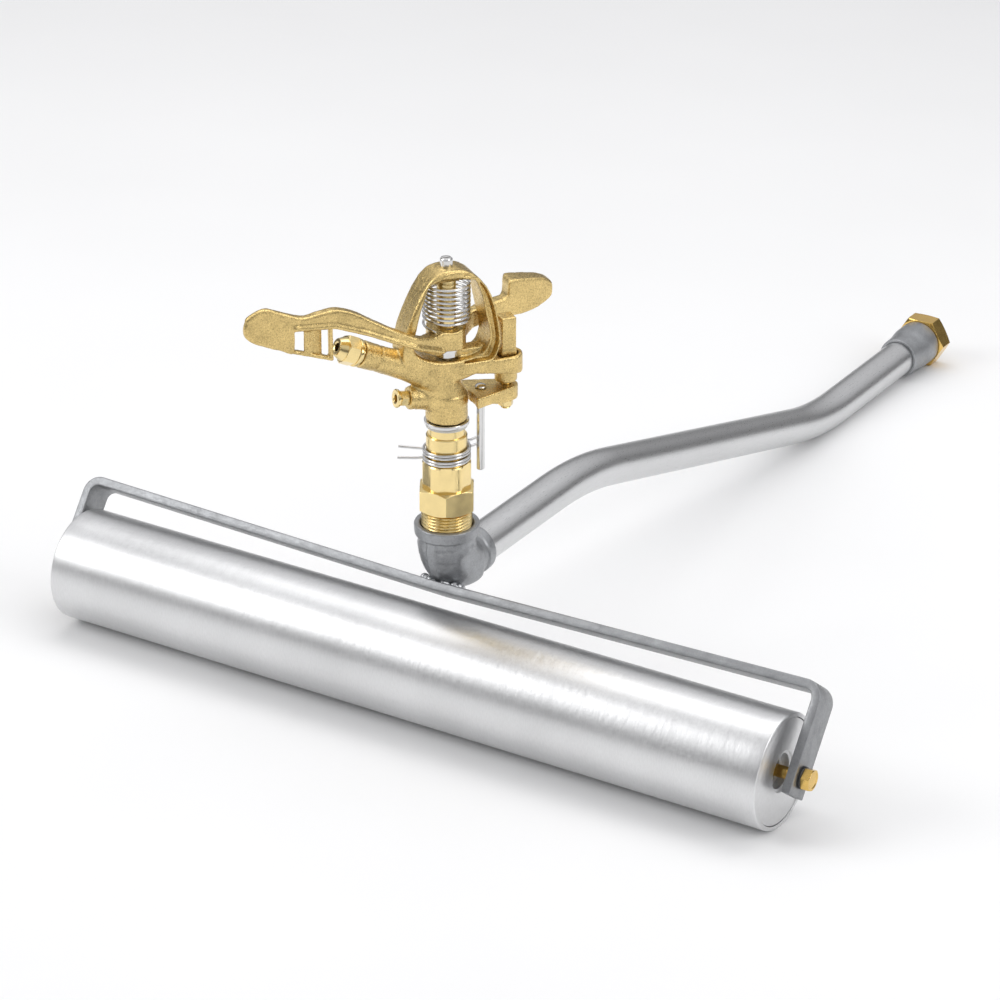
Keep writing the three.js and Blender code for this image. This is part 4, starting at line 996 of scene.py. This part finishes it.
def dog_field(x, y, z):
    foot = POCKET_FLOOR + 0.3
    body = block(x, y, z, (-5, -5.4, foot), (5, 5.4, 262), 0.9)
    ledge = block(x, y, z, (-5.3, -4.6, foot), (5.1, 5.6, foot + 11), 0.8)
    body = smin(body, ledge, 0.9) + 0.1 * lumps(x, y, z, 2.6)
    return np.maximum(body, -np.maximum(np.hypot(x, y) - 3.4, z - foot - 14))


def trip_gear():
    pivot = HEAD @ shift(PIVOT_X, 0, 0)
    verts, faces = cast(lever_field, (-49.5, -17.5, 205), (-11, 17.5, 215.5), 0.35)
    add("trip_casting", verts, faces, HEAD, "trip", "brass_cast", ["trip_lever"], 60)
    verts, faces = cast(dog_field, (-6, -6, 228), (6, 6.5, 262.4), 0.35)
    add("dog_casting", verts, faces, pivot, "trip", "brass_cast", ["reverse_dog"], 60)
    top = LEVER_Z[1] + 0.3
    rows = [(157.5, 0), (157.5, 1.9), *arc_rows(158.3, 1.9, 0.8, -90, 0, 4), (top, 2.7), (top, 3.6),
            (top + 0.6, 3.7), (top + 1.4, 3.2), (top + 2.1, 1.9), (top + 2.3, 0)]
    verts, faces = turned(rows, 40)
    add("trip_rod", verts, faces, HEAD @ shift(TRIP_PIN_X, 0, 0), "trip", "stainless", ["trip_pin"])
    low = LEVER_Z[0]
    rows = [(low - 7.4, 0), (low - 7.4, 2.7), (low - 7, 3.1), (low - 6.5, 2.8), (low - 6.0, 3.2),
            (low - 5.4, 3.0), *hex_rows(8.6, low - 5.4, low - 1.6, 0.4), (low - 1.6, 3.05),
            (POCKET_FLOOR + 12.6, 3.05), (POCKET_FLOOR + 13, 0)]
    verts, faces = turned(rows, 48, 0.4)
    add("pivot_screw", verts, faces, pivot, "trip", "brass_bright", ["pivot_bolt"], 25)
    rows = [(low - 1.3, 3.6), (low - 1.3, 4.8), (low - 1.1, 5), (low - 0.5, 5), (low - 0.3, 4.8),
            (low - 0.3, 3.6)]
    verts, faces = turned(rows, 48, ring=True)
    add("pivot_ring", verts, faces, pivot, "trip", "brass_bright", ["pivot_washer"])


roller()
yoke()
axle_bolts()
elbow()
weld()
pipe()
hose_bush()
nipple()
stop_ring("stop_wire_lower", "stop_ring_lower", "stop_lower", 169.6, (168.9, 171), -26, -160)
stop_ring("stop_wire_upper", "stop_ring_upper", "stop_upper", 174.6, (174.6, 175.4), -35, -159)
head_casting()
nozzles()
pin_and_spring()
hammer()
trip_gear()


# ---------------------------------------------------------------- floor, light and camera
def studio():
    bpy.ops.mesh.primitive_plane_add(size=9)
    floor = bpy.context.object
    floor.name = "floor"
    n = Nodes("floor_paper")
    tone = n.ramp(n.noise(3, 2), [(0.3, grey(0.92)), (0.7, grey(0.94))])
    roughness = n.ramp(n.noise(8, 2), [(0.3, 0.8), (0.7, 0.9)])
    floor.data.materials.append(n.done(tone, roughness, metallic=0.0))
    world = bpy.data.worlds.new("studio")
    world.use_nodes = True
    tree = world.node_tree
    direction = tree.nodes.new("ShaderNodeTexCoord").outputs["Generated"]
    split = tree.nodes.new("ShaderNodeSeparateXYZ")
    sky = tree.nodes.new("ShaderNodeValToRGB")
    stops = ((0.0, 0.16), (0.2, 0.22), (0.42, 0.85), (0.75, 1.0), (1.0, 0.75))
    while len(sky.color_ramp.elements) < len(stops):
        sky.color_ramp.elements.new(0.5)
    for element, (position, value) in zip(sky.color_ramp.elements, stops):
        element.position = position
        element.color = (value, value, value * 1.02, 1)
    tree.links.new(direction, split.inputs[0])
    tree.links.new(split.outputs["Z"], sky.inputs["Fac"])
    tree.links.new(sky.outputs["Color"], tree.nodes["Background"].inputs["Color"])
    tree.nodes["Background"].inputs["Strength"].default_value = 0.72
    bpy.context.scene.world = world
    bpy.context.scene.view_settings.view_transform = "Standard"
    low, high = (Vector(c) for c in cad_box)
    middle = (low + high) / 2
    for name, offset, size, power in (
        ("overhead", (-0.1, 0.35, 2.0), (2.6, 1.1), 17),
        ("left_front", (-1.6, -1.6, 1.3), (1.2, 1.4), 17),
        ("right_side", (2.0, -0.2, 1.2), (0.9, 1.4), 12),
    ):
        light = bpy.data.lights.new(name, "AREA")
        light.shape = "RECTANGLE"
        light.size, light.size_y = size
        light.energy = power
        lamp = bpy.data.objects.new(name, light)
        bpy.context.scene.collection.objects.link(lamp)
        lamp.location = middle + Vector(offset)
        lamp.rotation_mode = "QUATERNION"
        lamp.rotation_quaternion = Vector(offset).to_track_quat("Z", "Y")


def camera():
    data = bpy.data.cameras.new("camera")
    data.lens = 138.55
    data.sensor_width = 36
    data.clip_end = 50
    cam = bpy.data.objects.new("camera", data)
    bpy.context.scene.collection.objects.link(cam)
    azimuth, elevation, roll = math.radians(31.08), math.radians(24.02), math.radians(1.47)
    aim = Vector((-0.02896, -0.18895, 0.09159))
    away = Vector((math.sin(azimuth) * math.cos(elevation), -math.cos(azimuth) * math.cos(elevation),
                   math.sin(elevation)))
    cam.location = aim + away * 2.6032
    cam.rotation_mode = "QUATERNION"
    cam.rotation_quaternion = away.to_track_quat("Z", "Y") @ Quaternion((0, 0, 1), roll)
    bpy.context.scene.camera = cam


studio()
camera()
